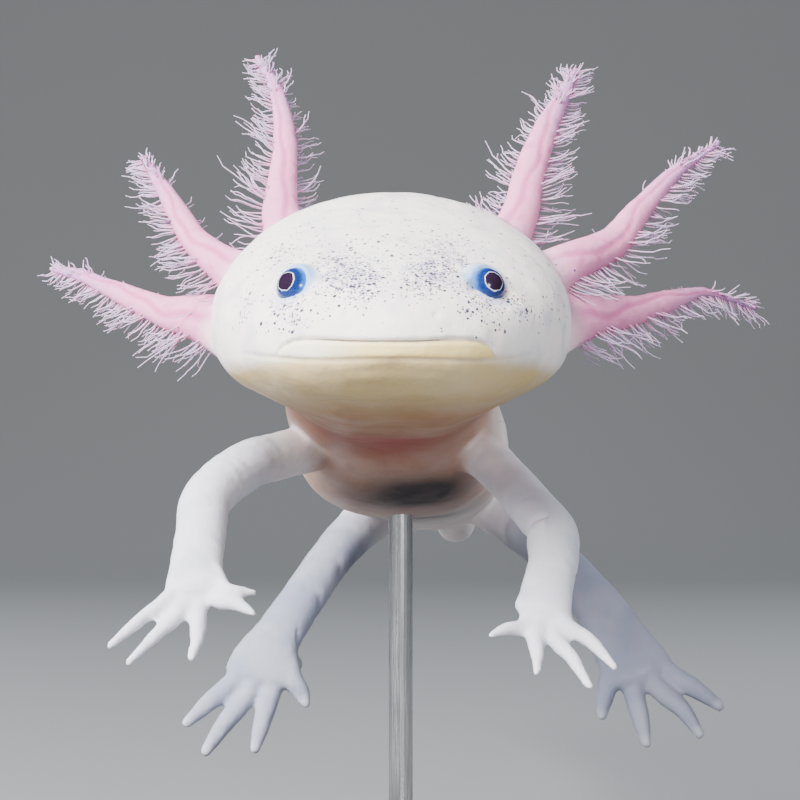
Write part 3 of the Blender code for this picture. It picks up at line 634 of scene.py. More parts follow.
def raw_flesh(voxel):
    """Everything that is flesh, fused into one closed skin."""
    bm = bmesh.new()
    add_body(bm)
    add_vent(bm)
    for centre, looks in eye_places():
        made = bmesh.ops.create_icosphere(bm, subdivisions=4, radius=LID_RADIUS * MM)
        bmesh.ops.translate(bm, vec=centre - looks * LID_SET_BACK * MM, verts=made["verts"])
    add_fin(bm, upper=True)
    add_fin(bm, upper=False)
    for leg, digits in LIMBS:
        add_tube(bm, leg, LIMB_FACE, LIMB_SIDES, 60)
        for number, joints in enumerate(digits):
            add_tube(bm, digit_rows(leg, joints, number), LIMB_FACE, DIGIT_SIDES, 30)
    for stalk, _, _ in GILLS.values():
        add_tube(bm, stalk, GILL_FACE, STALK_SIDES, 60)
    skin = from_bmesh("axolotl_skin", bm)
    remesh = skin.modifiers.new("Fuse", "REMESH")
    remesh.mode = "VOXEL"
    remesh.voxel_size = voxel
    relax = skin.modifiers.new("Relax", "SMOOTH")
    relax.factor = 0.5
    relax.iterations = 8
    return applied(skin)


def refine(obj, wanted):
    """Halves the mesh size where `wanted` is true of both ends of an edge."""
    bm = bmesh.new()
    bm.from_mesh(obj.data)
    bm.verts.ensure_lookup_table()
    edges = [e for e in bm.edges if wanted[e.verts[0].index] and wanted[e.verts[1].index]]
    bmesh.ops.subdivide_edges(bm, edges=edges, cuts=1, use_grid_fill=True, smooth=0.0)
    bmesh.ops.triangulate(bm, faces=[f for f in bm.faces if len(f.verts) > 4])
    bm.to_mesh(obj.data)
    bm.free()


def face_front(rows):
    """True on the part of the face that holds the eyes and the mouth."""
    side, back, up = rows.T
    front = (back < -13) & (np.abs(side) < 16) & (up > 2.4) & (up < 7.4)
    for centre, _ in eye_places():
        front |= np.linalg.norm(rows - animal(centre), axis=1) < 3.6
    return front


def mouth_gap(rows):
    """Signed distance from the edge of the upper lip: above it, or outside its ends, is positive."""
    x = np.linspace(-MOUTH_HALF, MOUTH_HALF, 161)
    up = mouth_line(x)
    gap = np.full(len(rows), 3.0)
    near = np.flatnonzero((rows[:, 1] < -5) & (rows[:, 2] > 0) & (rows[:, 2] < 9))
    side = rows[near, 0] - MOUTH_SIDE
    span = np.hypot(side[:, None] - x[None, :], rows[near, 2, None] - up[None, :]).min(axis=1)
    inside = (np.abs(side) < MOUTH_HALF) & (rows[near, 2] < mouth_line(side))
    gap[near] = np.clip(np.where(inside, -span, span), -3, 3)
    return gap


def mouth_line(side):
    """Height of the upper lip's edge at each distance from the middle of the mouth."""
    return np.interp(np.abs(side), [p[0] for p in MOUTH], [p[1] for p in MOUTH])


def fold_line(side):
    """Height of the fold under the lower lip, which runs on over the cheeks."""
    return curve_through([p[0] for p in LIP_FOLD], [p[1] for p in LIP_FOLD], side)[:, 0]


def front_of_head(rows):
    return 1 - smooth_step(rows[:, 1], -9.0, -4.0)


def lip_cushion(rows):
    """1 on the pale lower lip between the mouth's edge and the fold under it."""
    over = mouth_gap(rows)
    above_fold = rows[:, 2] - fold_line(rows[:, 0])
    inside = smooth_step(-over, -0.02, 0.16) * smooth_step(above_fold, -0.1, 0.35)
    return inside * front_of_head(rows) * (np.abs(rows[:, 0] - MOUTH_SIDE) < MOUTH_HALF)


def lips(rows):
    """Outward millimetres that shape the upper lip, the slit and the cushion of the lower lip."""
    over = mouth_gap(rows)
    within = 1 - smooth_step(np.abs(rows[:, 0] - MOUTH_SIDE), MOUTH_HALF - 1.5, MOUTH_HALF + 0.6)
    fold = rows[:, 2] - fold_line(rows[:, 0])
    cheek = 1 - smooth_step(np.abs(rows[:, 0]), 13.0, 15.5)
    out = 0.20 * bump(over, 1.2) * (over > 0) * within
    out += 0.10 * lip_cushion(rows)
    out -= 0.34 * bump(over, 0.22) * within
    out -= 0.13 * bump(fold, 0.26) * cheek
    second = rows[:, 2] - 2.75 + 0.012 * rows[:, 0] ** 2
    out -= 0.05 * bump(second, 0.35) * (1 - smooth_step(np.abs(rows[:, 0]), 5.0, 8.0))
    return out * front_of_head(rows)


def nostrils(rows):
    pits = sum(blob(rows, (turn * NOSTRIL[0], *NOSTRIL[1:]), (0.42, 1.5, 0.3)) for turn in (-1, 1))
    rims = sum(blob(rows, (turn * NOSTRIL[0], *NOSTRIL[1:]), (0.9, 1.5, 0.7)) for turn in (-1, 1))
    return 0.10 * rims - 0.34 * pits


def throat_fold(rows):
    """The free edge of the fold that runs across the throat, up to the lowest gill."""
    side, back, up = rows.T
    edge = back - (12.5 - 4.5 * np.clip(side / 17, -1, 1) ** 2)
    below = 1 - smooth_step(up, 2.0, 6.0)
    lip = 0.42 * bump(np.minimum(edge, 0), 2.2) * (edge < 0.3)
    return (lip - 0.5 * bump(edge - 0.5, 0.55)) * below * (np.abs(side) < 17)


def flank_grooves(rows):
    """The upright grooves between the ribs and the slanting ones along the tail."""
    side, back, up = rows.T
    profile = body_profile(back)
    middle = (profile[:, 1] + profile[:, 2]) / 2
    out = (side - profile[:, 0]) / profile[:, 4]
    flank = smooth_step(np.abs(out), 0.55, 0.85) * (np.abs(out) < 1.12)
    place = (back + 0.12 * (up - middle)) / RIB_PITCH
    gap = (place - np.round(place)) * RIB_PITCH
    ribs = 0.20 * bump(gap, 0.5) * smooth_step(back, 33, 38) * (1 - smooth_step(back, 72, 79))
    place = (back - 0.7 * np.abs(up - middle)) / TAIL_PITCH
    gap = (place - np.round(place)) * TAIL_PITCH
    tail = 0.12 * bump(gap, 0.6) * smooth_step(back, 88, 98) * (1 - smooth_step(back, 165, 180))
    line = 0.14 * bump(up - middle, 0.7) * smooth_step(back, 84, 100)
    return -(ribs + tail + line * (1 - smooth_step(back, 170, 182))) * flank


def limb_folds(rows):
    """Soft wrinkles at the elbows, knees, wrists and ankles."""
    total = np.zeros(len(rows))
    wander = ripple(rows, 5.0, seed=SEED + 3)
    for leg, _ in LIMBS:
        share, distance = nearest_share(rows, leg)
        on_limb = (distance < 1.5) * smooth_step(share, 0.2, 0.3)
        for fold in (0.47, 0.51, 0.55, 0.83, 0.87):
            crease = bump(share - fold - 0.006 * wander, 0.012)
            total -= 0.07 * crease * on_limb * (0.6 + 0.5 * wander)
    return total


def stalk_frames(points, count=STALK_STEPS + 1):
    """Rows of middle, forward, thin and wide way, and half sizes, up a gill's stalk."""
    rows = path_through(points, count)
    ahead = np.gradient(rows[:, :3], axis=0)
    ahead /= np.linalg.norm(ahead, axis=1)[:, None]
    face = np.array(GILL_FACE)
    thin = face - ahead * (ahead @ face)[:, None]
    thin /= np.linalg.norm(thin, axis=1)[:, None]
    return rows, ahead, thin, np.cross(ahead, thin)


def on_gills(rows):
    """For each place: how much it is gill, how far up, how far to the rear, and off the crease."""
    gill, along, rear_side, crease = (np.zeros(len(rows)) for _ in range(4))
    crease += 1.0
    for number, (points, rear, _) in enumerate(GILLS.values()):
        share, distance = nearest_share(rows, points)
        path, _, thin, wide = stalk_frames(points)
        step = np.round(share * STALK_STEPS).astype(int)
        off = rows - path[step, :3]
        near = np.flatnonzero((distance < 1.9) & (share > 0.01))
        off, step = off[near], step[near]
        amount = smooth_step(share[near], 0.02, 0.18) * (1 - smooth_step(distance[near], 1.45, 1.8))
        mine = amount > gill[near]
        near, off, step, amount = near[mine], off[mine], step[mine], amount[mine]
        gill[near] = amount
        along[near] = share[near]
        way = np.array(rear) / np.linalg.norm(rear)
        rear_side[near] = (off @ way) / np.linalg.norm(off, axis=1).clip(0.2)
        across = (off * wide[step]).sum(axis=1) / path[step, 3]
        front = (off * thin[step]).sum(axis=1) / path[step, 4]
        wander = 0.30 * np.sin(share[near] * (7.0 + number) + number)
        wander = wander + 0.10 * np.sin(share[near] * 31)
        crease[near] = np.where(front > 0.1, across - wander, 1.0)
    return gill, along, rear_side, crease


def carve(obj):
    """Pushes the skin in and out along its normals, then sinks it under each eyeball's front."""
    mesh = obj.data
    places, normals = places_of(mesh), normals_of(mesh)
    rows = animal(places)
    gill, along, _, crease = on_gills(rows)
    out = lips(rows) + nostrils(rows) + throat_fold(rows) + flank_grooves(rows) + limb_folds(rows)
    out -= 0.13 * bump(crease, 0.16) * gill * (1 - smooth_step(along, 0.75, 0.95))
    out += 0.06 * ripple(rows, 7.0) + 0.025 * ripple(rows, 2.4, seed=SEED + 1)
    places += normals * (out * MM)[:, None]
    for centre, looks in eye_places():
        off = places - np.array(centre)
        far = np.linalg.norm(off, axis=1)
        angle = np.degrees(np.arccos(np.clip(off @ np.array(looks) / far, -1, 1)))
        rim = smooth_step(angle, EYE_OPENING - 3.5, EYE_OPENING + 3.5)
        near = far < 4.0 * MM
        sunk = EYE_RADIUS * MM * EYE_SINK
        wanted = sunk + (np.maximum(far, (EYE_RADIUS + EYE_GAP) * MM) - sunk) * rim
        places[near] = (np.array(centre) + off * (wanted / far)[:, None])[near]
    move_to(mesh, places)


def store(mesh, name, values):
    layer = mesh.attributes.new(name, "FLOAT", "POINT")
    layer.data.foreach_set("value", np.asarray(values, np.float32))


def mark(obj):
    """Stores where each marking of the skin lies, as numbers on its points, including where painted
    shade darkens it.
    """
    rows = animal(places_of(obj.data))
    side, back, up = rows.T
    head = 1 - smooth_step(back, 8, 20)
    gill, along, rear_side, crease = on_gills(rows)
    skin = 1 - gill
    cloud = ripple(rows, 9.0, seed=SEED + 5)
    marks = {"gill": gill, "gill_along": along, "gill_rear": rear_side, "gill_crease": crease}
    marks["mouth_gap"] = mouth_gap(rows)
    # Painted shade: the mouth's slit and the fold under the lower lip are darkened; these masks say
    # how strongly along each.
    inner = 1 - 0.9 * smooth_step(np.abs(side + 1.2), 4.4, 7.4)
    marks["mouth_ink"] = inner * front_of_head(rows)
    marks["fold_gap"] = rows[:, 2] - fold_line(side)
    marks["fold_ink"] = (1 - smooth_step(np.abs(side), 12.0, 15.5)) * front_of_head(rows)
    marks["lip"] = lip_cushion(rows)
    marks["lip_end"] = marks["lip"] * smooth_step(-side, 1.0, 9.0)
    profile = body_profile(back)
    limb = np.zeros(len(rows))
    for leg, _ in LIMBS:
        share, distance = nearest_share(rows, leg, reach=12.0)
        near = 1 - smooth_step(distance, 1.05, 1.45)
        limb = np.maximum(limb, smooth_step(share, 0.12, 0.24) * near)
    on_trunk = (np.abs(side - profile[:, 0]) < 1.2 * profile[:, 4]) & (up > profile[:, 2] - 4.0)
    trunk = skin * (1 - limb) * on_trunk
    # Chin: cream laid on the lower jaw below the lip; partly its own colour, partly painted shade
    # under the head.
    low = 1 - smooth_step(up + 0.006 * side**2 + 0.08 * cloud, 3.6, 5.8)
    marks["chin"] = low * (1 - smooth_step(back, 2, 16)) * trunk
    # Throat: tan laid under the jaw; partly its own colour, partly painted shade under the head.
    under = 1 - smooth_step(up - 0.004 * side**2 + 0.1 * cloud, -3.0, 1.5)
    marks["throat"] = under * (1 - smooth_step(back, 14, 26)) * trunk
    # Chest: brown pink on the lower part of the body; partly its own colour, partly painted shade
    # underneath.
    height = (up - profile[:, 2]) / (profile[:, 3] - profile[:, 2])
    chest = 1 - smooth_step(height + 0.12 * cloud, 0.25 + 0.75 * bump(back - 12.0, 16.0), 1.3)
    marks["chest"] = chest * smooth_step(back, 8, 14) * (1 - 0.8 * smooth_step(back, 30, 62)) * trunk
    marks["chest"] *= 1 - smooth_step(back, 66, 84)
    marks["blood"] = blob(rows, (0.2, 15.0, -4.8), (6.0, 8.0, 3.6)) * trunk
    # Belly patch: where the organs show through, darkened further as painted shade underneath.
    organ = 1.5 * blob(rows, (3.4, 33.0, -11.6), (7.6, 6.5, 2.9))
    organ = organ + blob(rows, (4.5, 52.0, -15.5), (6.5, 9.0, 3.5))
    marks["organ"] = np.clip(organ * (1.0 + 0.2 * cloud), 0, 1) * trunk
    shoulder = blob(rows, (0.0, 27.0, -9.5), (99.0, 9.0, 3.5))
    marks["shoulder"] = bump(np.abs(side) - 12.5, 3.0) * shoulder * skin
    # The arms' and hind legs' colours laid by these masks are partly painted shade: darker and bluer
    # than the limbs' own pale colour.
    front_limb, hind_limb = np.zeros(len(rows)), np.zeros(len(rows))
    tip_gap = np.full(len(rows), 9.0)
    for leg, digits in LIMBS:
        share, distance = nearest_share(rows, leg, reach=12.0)
        hind = leg in (HINDLEG_RIGHT, HINDLEG_LEFT)
        target = hind_limb if hind else front_limb
        reach = np.where(share > 0.8, 5.0, 1.7)
        amount = smooth_step(share, 0.12, 0.45) * (distance < reach)
        np.maximum(target, amount, out=target)
        for joints in digits:
            end = np.array(joints[-1])
            tip_gap = np.minimum(tip_gap, np.linalg.norm(rows - end, axis=1))
    marks["arm"], marks["hind"], marks["tip_gap"] = front_limb, hind_limb, tip_gap
    blade = np.maximum(up - profile[:, 1], np.where(back > 95, profile[:, 2] - up, 0))
    thin = (back > 19) * (np.abs(side - profile[:, 0]) < 2.2)
    marks["fin"] = smooth_step(blade, 0.1, 1.4) * thin * skin
    marks["flank"] = smooth_step(back, 18, 60) * skin
    halo, glow = np.zeros(len(rows)), np.zeros(len(rows))
    for centre, looks in eye_places():
        turn = math.copysign(1, looks.x)
        middle = animal(centre) + 1.9 * np.array(looks) + np.array([-0.75 * turn, 0.0, 0.3])
        halo += 1 - smooth_step(np.linalg.norm(rows - middle, axis=1), 1.6, 3.1)
        outer = animal(centre) + np.array([1.9 * turn, 0.2, -1.2])
        glow += blob(rows, outer, (1.2, 2.0, 1.1)) * (0.35 if turn < 0 else 1.0)
    marks["halo"], marks["glow"] = np.clip(halo, 0, 1), np.clip(glow, 0, 1)
    density = 0.01 + 0.025 * smooth_step(up, 8, 14) * head
    for *centre, size, strength in SPECK_PATCHES:
        density = density + strength * blob(rows, centre, (size, size * 1.4, size))
    upper = smooth_step(up - profile[:, 3], -1.5, 1.5)
    dorsal = 0.05 * (1 - head) * (1 - smooth_step(back, 60, 120))
    marks["specks"] = np.clip(density * head + dorsal, 0, 1) * upper * skin * (1 - marks["halo"])
    for name, values in marks.items():
        store(obj.data, name, values)


def mark_eye(mesh, centre, looks):
    """Stores how far each point of an eyeball turns from its gaze, and how far in and up it lies."""
    out = places_of(mesh) - np.array(centre)
    out /= np.linalg.norm(out, axis=1)[:, None]
    store(mesh, "off_axis", np.degrees(np.arccos(np.clip(out @ np.array(looks), -1, 1))))
    inward = np.array((-math.copysign(0.75, looks.x), 0.0, 0.66))
    store(mesh, "inward", out @ inward)


def feed(tree, socket, value):
    """Links a socket to an input, or sets the input's own value."""
    if isinstance(value, bpy.types.NodeSocket):
        tree.links.new(value, socket)
    else:
        socket.default_value = value


def add(tree, kind, inputs=None, **settings):
    """A new node with its settings, and its inputs by name or number."""
    made = tree.nodes.new(kind)
    for name, value in settings.items():
        setattr(made, name, value)
    for key, value in (inputs or {}).items():
        feed(tree, made.inputs[key], value)
    return made


def calc(tree, operation, *values, clamp=False):
    """The result of a sum on numbers."""
    node = add(tree, "ShaderNodeMath", dict(enumerate(values)), operation=operation, use_clamp=clamp)
    return node.outputs[0]


def between(tree, value, low, high, low_to=0.0, high_to=1.0):
    """The value carried smoothly from one range to another."""
    inputs = {"Value": value, "From Min": low, "From Max": high, "To Min": low_to, "To Max": high_to}
    return add(tree, "ShaderNodeMapRange", inputs, interpolation_type="SMOOTHSTEP").outputs[0]


def opaque(colour):
    """A colour for an input: a socket as it is, or three numbers with a full fourth."""
    return colour if isinstance(colour, bpy.types.NodeSocket) else (*colour, 1.0)


def painted(tree, under, colour, amount):
    """One colour laid over another by an amount between 0 and 1."""
    inputs = {0: amount, 6: opaque(under), 7: opaque(colour)}
    return add(tree, "ShaderNodeMix", inputs, data_type="RGBA").outputs[2]


def mask(tree, name):
    """A marking stored on the points of the mesh."""
    return add(tree, "ShaderNodeAttribute", attribute_name=name).outputs["Fac"]


def scaled_place(tree, place, size):
    """The place on the object, counted in steps of `size` metres."""
    node = add(tree, "ShaderNodeVectorMath", {0: place}, operation="SCALE")
    feed(tree, node.inputs["Scale"], size)
    return node.outputs[0]


def noise(tree, place, size, detail=2.0):
    """A soft noise with humps of `size` metres."""
    inputs = {"Vector": scaled_place(tree, place, 1 / size), "Scale": 1.0, "Detail": detail}
    return add(tree, "ShaderNodeTexNoise", inputs).outputs["Fac"]


def own_place(tree):
    return add(tree, "ShaderNodeTexCoord").outputs["Object"]


def grain_group():
    """The fine grain, pores and cloudy patches that every finish shares in its own size."""
    found = bpy.data.node_groups.get("Grain and clouds")
    if found:
        return found
    tree = bpy.data.node_groups.new("Grain and clouds", "ShaderNodeTree")
    for name, value in (("Grain Size", 0.5 * MM), ("Cloud Size", 8 * MM), ("Pores", 0.3)):
        socket = tree.interface.new_socket(name, in_out="INPUT", socket_type="NodeSocketFloat")
        socket.default_value = value
    for name in ("Height", "Clouds"):
        tree.interface.new_socket(name, in_out="OUTPUT", socket_type="NodeSocketFloat")
    given = add(tree, "NodeGroupInput").outputs
    place = own_place(tree)
    fine = scaled_place(tree, place, calc(tree, "DIVIDE", 1.0, given["Grain Size"]))
    large = scaled_place(tree, place, calc(tree, "DIVIDE", 1.0, given["Cloud Size"]))
    grain = add(tree, "ShaderNodeTexNoise", {"Vector": fine, "Scale": 1.0, "Detail": 3.0}).outputs[0]
    cells = add(tree, "ShaderNodeTexVoronoi", {"Vector": fine, "Scale": 0.8}).outputs["Distance"]
    pits = calc(tree, "MULTIPLY", between(tree, cells, 0.0, 0.35, 1.0, 0.0), given["Pores"])
    height = calc(tree, "SUBTRACT", grain, pits)
    clouds = add(tree, "ShaderNodeTexNoise", {"Vector": large, "Scale": 1.0, "Detail": 2.0}).outputs[0]
    add(tree, "NodeGroupOutput", {"Height": height, "Clouds": clouds})
    return tree


def grain(tree, grain_size, cloud_size, pores):
    node = add(tree, "ShaderNodeGroup", node_tree=grain_group())
    for name, value in (("Grain Size", grain_size), ("Cloud Size", cloud_size), ("Pores", pores)):
        node.inputs[name].default_value = value
    return node.outputs["Height"], node.outputs["Clouds"]


def new_finish(name, **values):
    """A material with its surface shader's fixed values set."""
    finish = bpy.data.materials.new(name)
    finish.use_nodes = True
    surface = finish.node_tree.nodes["Principled BSDF"]
    for key, value in values.items():
        surface.inputs[key.replace("_", " ")].default_value = value
    return finish, finish.node_tree, surface


def raised(tree, height, distance, strength=1.0, under=None):
    """The normal of a surface with this height over it, in metres."""
    inputs = {"Height": height, "Distance": distance, "Strength": strength}
    if under:
        inputs["Normal"] = under
    return add(tree, "ShaderNodeBump", inputs).outputs[0]


def line(tree, gap, width):
    """1 along a thin line where `gap` is 0, falling off within `width`."""
    return between(tree, calc(tree, "ABSOLUTE", gap), 0.0, width, 1.0, 0.0)


def speck_layer(tree, place, density, cell, radius, offset):
    """Scattered round dots, of random size, as many as `density` lets through."""
    moved = add(tree, "ShaderNodeVectorMath", {0: place, 1: (offset, offset, offset)})
    inputs = {"Vector": scaled_place(tree, moved.outputs[0], 1 / cell), "Scale": 1.0}
    cells = add(tree, "ShaderNodeTexVoronoi", inputs)
    parts = add(tree, "ShaderNodeSeparateColor", {0: cells.outputs["Color"]}).outputs
    size = calc(tree, "MULTIPLY_ADD", parts[1], 0.7 * radius / cell, 0.45 * radius / cell)
    inside = calc(tree, "SUBTRACT", size, cells.outputs["Distance"])
    dot = between(tree, inside, -0.03, 0.05)
    kept = calc(tree, "GREATER_THAN", density, parts[0])
    return calc(tree, "MULTIPLY", dot, kept)


def skin_finish(looks):
    """Moist pale skin with its markings laid over one another; some markings are partly painted shade.
    """
    finish, tree, surface = new_finish(
        "axolotl_skin",
        Subsurface_Weight=0.22,
        Subsurface_Radius=(1.0, 0.42, 0.28),
        Subsurface_Scale=1.1 * MM,
        Coat_Weight=0.03,
        Coat_Roughness=0.25,
        IOR=1.34,
    )
    place = own_place(tree)
    height, clouds = grain(tree, 0.42 * MM, 7 * MM, 0.25)
    cloudy = between(tree, clouds, 0.35, 0.68)
    colour = painted(tree, looks.skin, looks.flush, calc(tree, "MULTIPLY", cloudy, 0.26))
    bluish = between(tree, noise(tree, place, 4 * MM, 3.0), 0.48, 0.70)
    colour = painted(tree, colour, looks.limb, calc(tree, "MULTIPLY", bluish, 0.35))
    for name, tint, strength in (
        ("flank", looks.flush, 0.30),
        # Chin, chest, throat and belly patch: partly own colour, partly painted shade underneath;
        # blood is its own colour.
        ("chin", looks.chin, 0.90),
        ("chest", looks.chest, 0.85),
        ("throat", looks.throat, 0.85),
        ("blood", looks.blood, 0.85),
        ("organ", looks.organ, 0.95),
        # Arms and hind legs: partly own colour, partly painted shade.
        ("arm", looks.limb, 0.60),
        ("hind", looks.hind, 0.90),
        ("shoulder", looks.flush, 0.50),
        ("fin", looks.fin, 0.6),
        ("glow", looks.yolk, 0.55),
        ("lip", looks.lip, 0.95),
        ("lip_end", looks.skin, 0.80),
    ):
        patchy = calc(tree, "MULTIPLY_ADD", cloudy, 0.10, 0.92)
        amount = calc(tree, "MULTIPLY", mask(tree, name), strength)
        colour = painted(tree, colour, tint, calc(tree, "MULTIPLY", amount, patchy, clamp=True))

    along = mask(tree, "gill_along")
    stalk = painted(tree, looks.gill_root, looks.gill_tip, between(tree, along, 0.45, 1.0))
    rear = between(tree, mask(tree, "gill_rear"), -0.1, 0.95)
    rosy = calc(tree, "MULTIPLY", rear, between(tree, along, 0.25, 0.95, 0.75, 0.25))
    stalk = painted(tree, stalk, looks.gill_rose, rosy)
    vein = calc(tree, "MULTIPLY", line(tree, mask(tree, "gill_crease"), 0.34), 0.85)
    vein = calc(tree, "MULTIPLY", vein, between(tree, along, 0.75, 0.95, 1.0, 0.0))
    stalk = painted(tree, stalk, looks.gill_rose, vein)
    streaks = between(tree, noise(tree, place, 1.6 * MM, 3.0), 0.52, 0.72)
    stalk = painted(tree, stalk, looks.gill_rose, calc(tree, "MULTIPLY", streaks, 0.5))
    colour = painted(tree, colour, stalk, mask(tree, "gill"))

    halo = mask(tree, "halo")
    colour = painted(tree, colour, looks.halo, calc(tree, "MULTIPLY", halo, 0.85))

    density = mask(tree, "specks")
    stained = between(tree, noise(tree, place, 0.9 * MM), 0.40, 0.70)
    stain = calc(tree, "MULTIPLY", calc(tree, "MULTIPLY", density, stained), 0.62, clamp=True)
    colour = painted(tree, colour, looks.stain, stain)
    inputs = {"Vector": scaled_place(tree, place, 1 / (0.12 * MM)), "Scale": 1.0}
    ragged = add(tree, "ShaderNodeTexNoise", inputs)
    shift = scaled_place(tree, ragged.outputs["Color"], 0.09 * MM)
    torn = add(tree, "ShaderNodeVectorMath", {0: place, 1: shift}).outputs[0]
    small = speck_layer(tree, torn, density, 0.26 * MM, 0.128 * MM, 0.0)
    large = speck_layer(tree, torn, calc(tree, "MULTIPLY", density, 0.6), 0.46 * MM, 0.205 * MM, 0.7)
    small = calc(tree, "MULTIPLY", small, 0.85)
    large = calc(tree, "MULTIPLY", large, 0.95)
    dots = calc(tree, "MAXIMUM", small, large)
    colour = painted(tree, colour, looks.speck, dots)

    # Painted shade: a dark line in the closed mouth's slit, and darker cream in the fold under the
    # lower lip.
    slit = calc(tree, "MULTIPLY", line(tree, mask(tree, "mouth_gap"), 0.13), mask(tree, "mouth_ink"))
    fold = calc(tree, "MULTIPLY", line(tree, mask(tree, "fold_gap"), 0.22), mask(tree, "fold_ink"))
    colour = painted(tree, colour, looks.crease, calc(tree, "MULTIPLY", fold, 0.30))
    colour = painted(tree, colour, looks.slit, calc(tree, "MULTIPLY", slit, 0.85))
    cap = between(tree, mask(tree, "tip_gap"), 0.3, 1.6, 0.35, 0.0)
    colour = painted(tree, colour, looks.cap, cap)
    feed(tree, surface.inputs["Base Color"], colour)
    feed(tree, surface.inputs["Roughness"], between(tree, clouds, 0.3, 0.7, 0.44, 0.58))

    cut = raised(tree, calc(tree, "SUBTRACT", 1.0, slit), 0.12 * MM)
    wrinkles = noise(tree, place, 1.3 * MM, 4.0)
    soft = raised(tree, wrinkles, 0.16 * MM, 0.7, cut)
    feed(tree, surface.inputs["Normal"], raised(tree, height, 0.035 * MM, 0.6, soft))
    return finish


def filament_finish(looks):
    """Thin moist threads, rosy at the root and lilac white at the tip."""
    finish, tree, surface = new_finish(
        "gill_filament",
        Subsurface_Weight=0.25,
        Subsurface_Radius=(1.0, 0.5, 0.45),
        Subsurface_Scale=0.5 * MM,
        IOR=1.4,
    )
    height, clouds = grain(tree, 0.25 * MM, 2.5 * MM, 0.1)
    along = mask(tree, "along")
    colour = painted(tree, looks.thread_root, looks.thread_tip, between(tree, along, 0.0, 0.55))
    warm = calc(tree, "MULTIPLY", between(tree, clouds, 0.45, 0.7), 0.35)
    warm = calc(tree, "MULTIPLY", warm, between(tree, along, 0.2, 1.0, 1.0, 0.3))
    colour = painted(tree, colour, looks.gill_rose, warm)
    feed(tree, surface.inputs["Base Color"], colour)
    feed(tree, surface.inputs["Roughness"], between(tree, clouds, 0.3, 0.7, 0.34, 0.5))
    feed(tree, surface.inputs["Normal"], raised(tree, height, 0.02 * MM, 0.5))
    return finish


def eye_finish(looks):
    """A wet eyeball: pupil, thin pale ring, dark blue iris, and paler blue at its edge."""
    finish, tree, surface = new_finish(
        "axolotl_eye", Roughness=0.2, Coat_Weight=0.5, Coat_Roughness=0.03, IOR=1.33
    )
    height, clouds = grain(tree, 0.16 * MM, 0.5 * MM, 0.0)
    ragged = calc(tree, "ADD", mask(tree, "off_axis"), between(tree, clouds, 0.3, 0.7, -1.5, 1.5))
    flecks = between(tree, height, 0.45, 0.7)
    iris = painted(tree, looks.iris, looks.iris_fleck, calc(tree, "MULTIPLY", flecks, 0.35))
    light = between(tree, mask(tree, "inward"), -0.5, 0.8, 0.15, 1.0)
    edge = calc(tree, "MULTIPLY", between(tree, ragged, 42.0, 63.0), light)
    rim = painted(tree, iris, looks.iris_edge, edge)
    circle = line(tree, calc(tree, "SUBTRACT", ragged, 28.5), 2.4)
    ring = painted(tree, rim, looks.ring, calc(tree, "MULTIPLY", circle, 0.9))
    colour = painted(tree, looks.pupil, ring, between(tree, ragged, 26.6, 28.0))
    feed(tree, surface.inputs["Base Color"], colour)
    feed(tree, surface.inputs["Normal"], raised(tree, height, 0.008 * MM, 0.3))
    return finish


def base_finish(looks):
    """Satin lacquer with a faint orange peel and clouding."""
    finish, tree, surface = new_finish("stand_lacquer", Coat_Weight=0.25, Coat_Roughness=0.25)
    height, clouds = grain(tree, 0.9 * MM, 30 * MM, 0.15)
    colour = painted(tree, looks.base, looks.base_shade, between(tree, clouds, 0.3, 0.7, 0.0, 0.35))
    feed(tree, surface.inputs["Base Color"], colour)
    feed(tree, surface.inputs["Roughness"], between(tree, clouds, 0.3, 0.7, 0.36, 0.48))
    feed(tree, surface.inputs["Normal"], raised(tree, height, 0.03 * MM, 0.5))
    return finish


def rod_finish(looks):
    """Steel drawn lengthways, with fine bright and dull streaks."""
    finish, tree, surface = new_finish("stand_steel", Metallic=1.0)
    stretched = add(tree, "ShaderNodeMapping", {"Vector": own_place(tree), "Scale": (1.0, 1.0, 0.02)})
    streaks = noise(tree, stretched.outputs[0], 0.12 * MM, 3.0)
    _, clouds = grain(tree, 0.5 * MM, 6 * MM, 0.0)
    dull = between(tree, streaks, 0.35, 0.65, 0.0, 0.6)
    colour = painted(tree, looks.steel, looks.steel_shade, dull)
    feed(tree, surface.inputs["Base Color"], colour)
    clouded = between(tree, clouds, 0.4, 0.7, 0.0, 0.08)
    rough = calc(tree, "ADD", between(tree, streaks, 0.3, 0.7, 0.18, 0.34), clouded)
    feed(tree, surface.inputs["Roughness"], rough)
    feed(tree, surface.inputs["Normal"], raised(tree, streaks, 0.01 * MM, 0.5))
    return finish


def stage_finish(colour):
    finish, tree, surface = new_finish("stage_paper", Roughness=0.9)
    _, clouds = grain(tree, 2 * MM, 200 * MM, 0.0)
    shade = tuple(0.97 * c for c in colour)
    feed(tree, surface.inputs["Base Color"], painted(tree, colour, shade, clouds))
    return finish


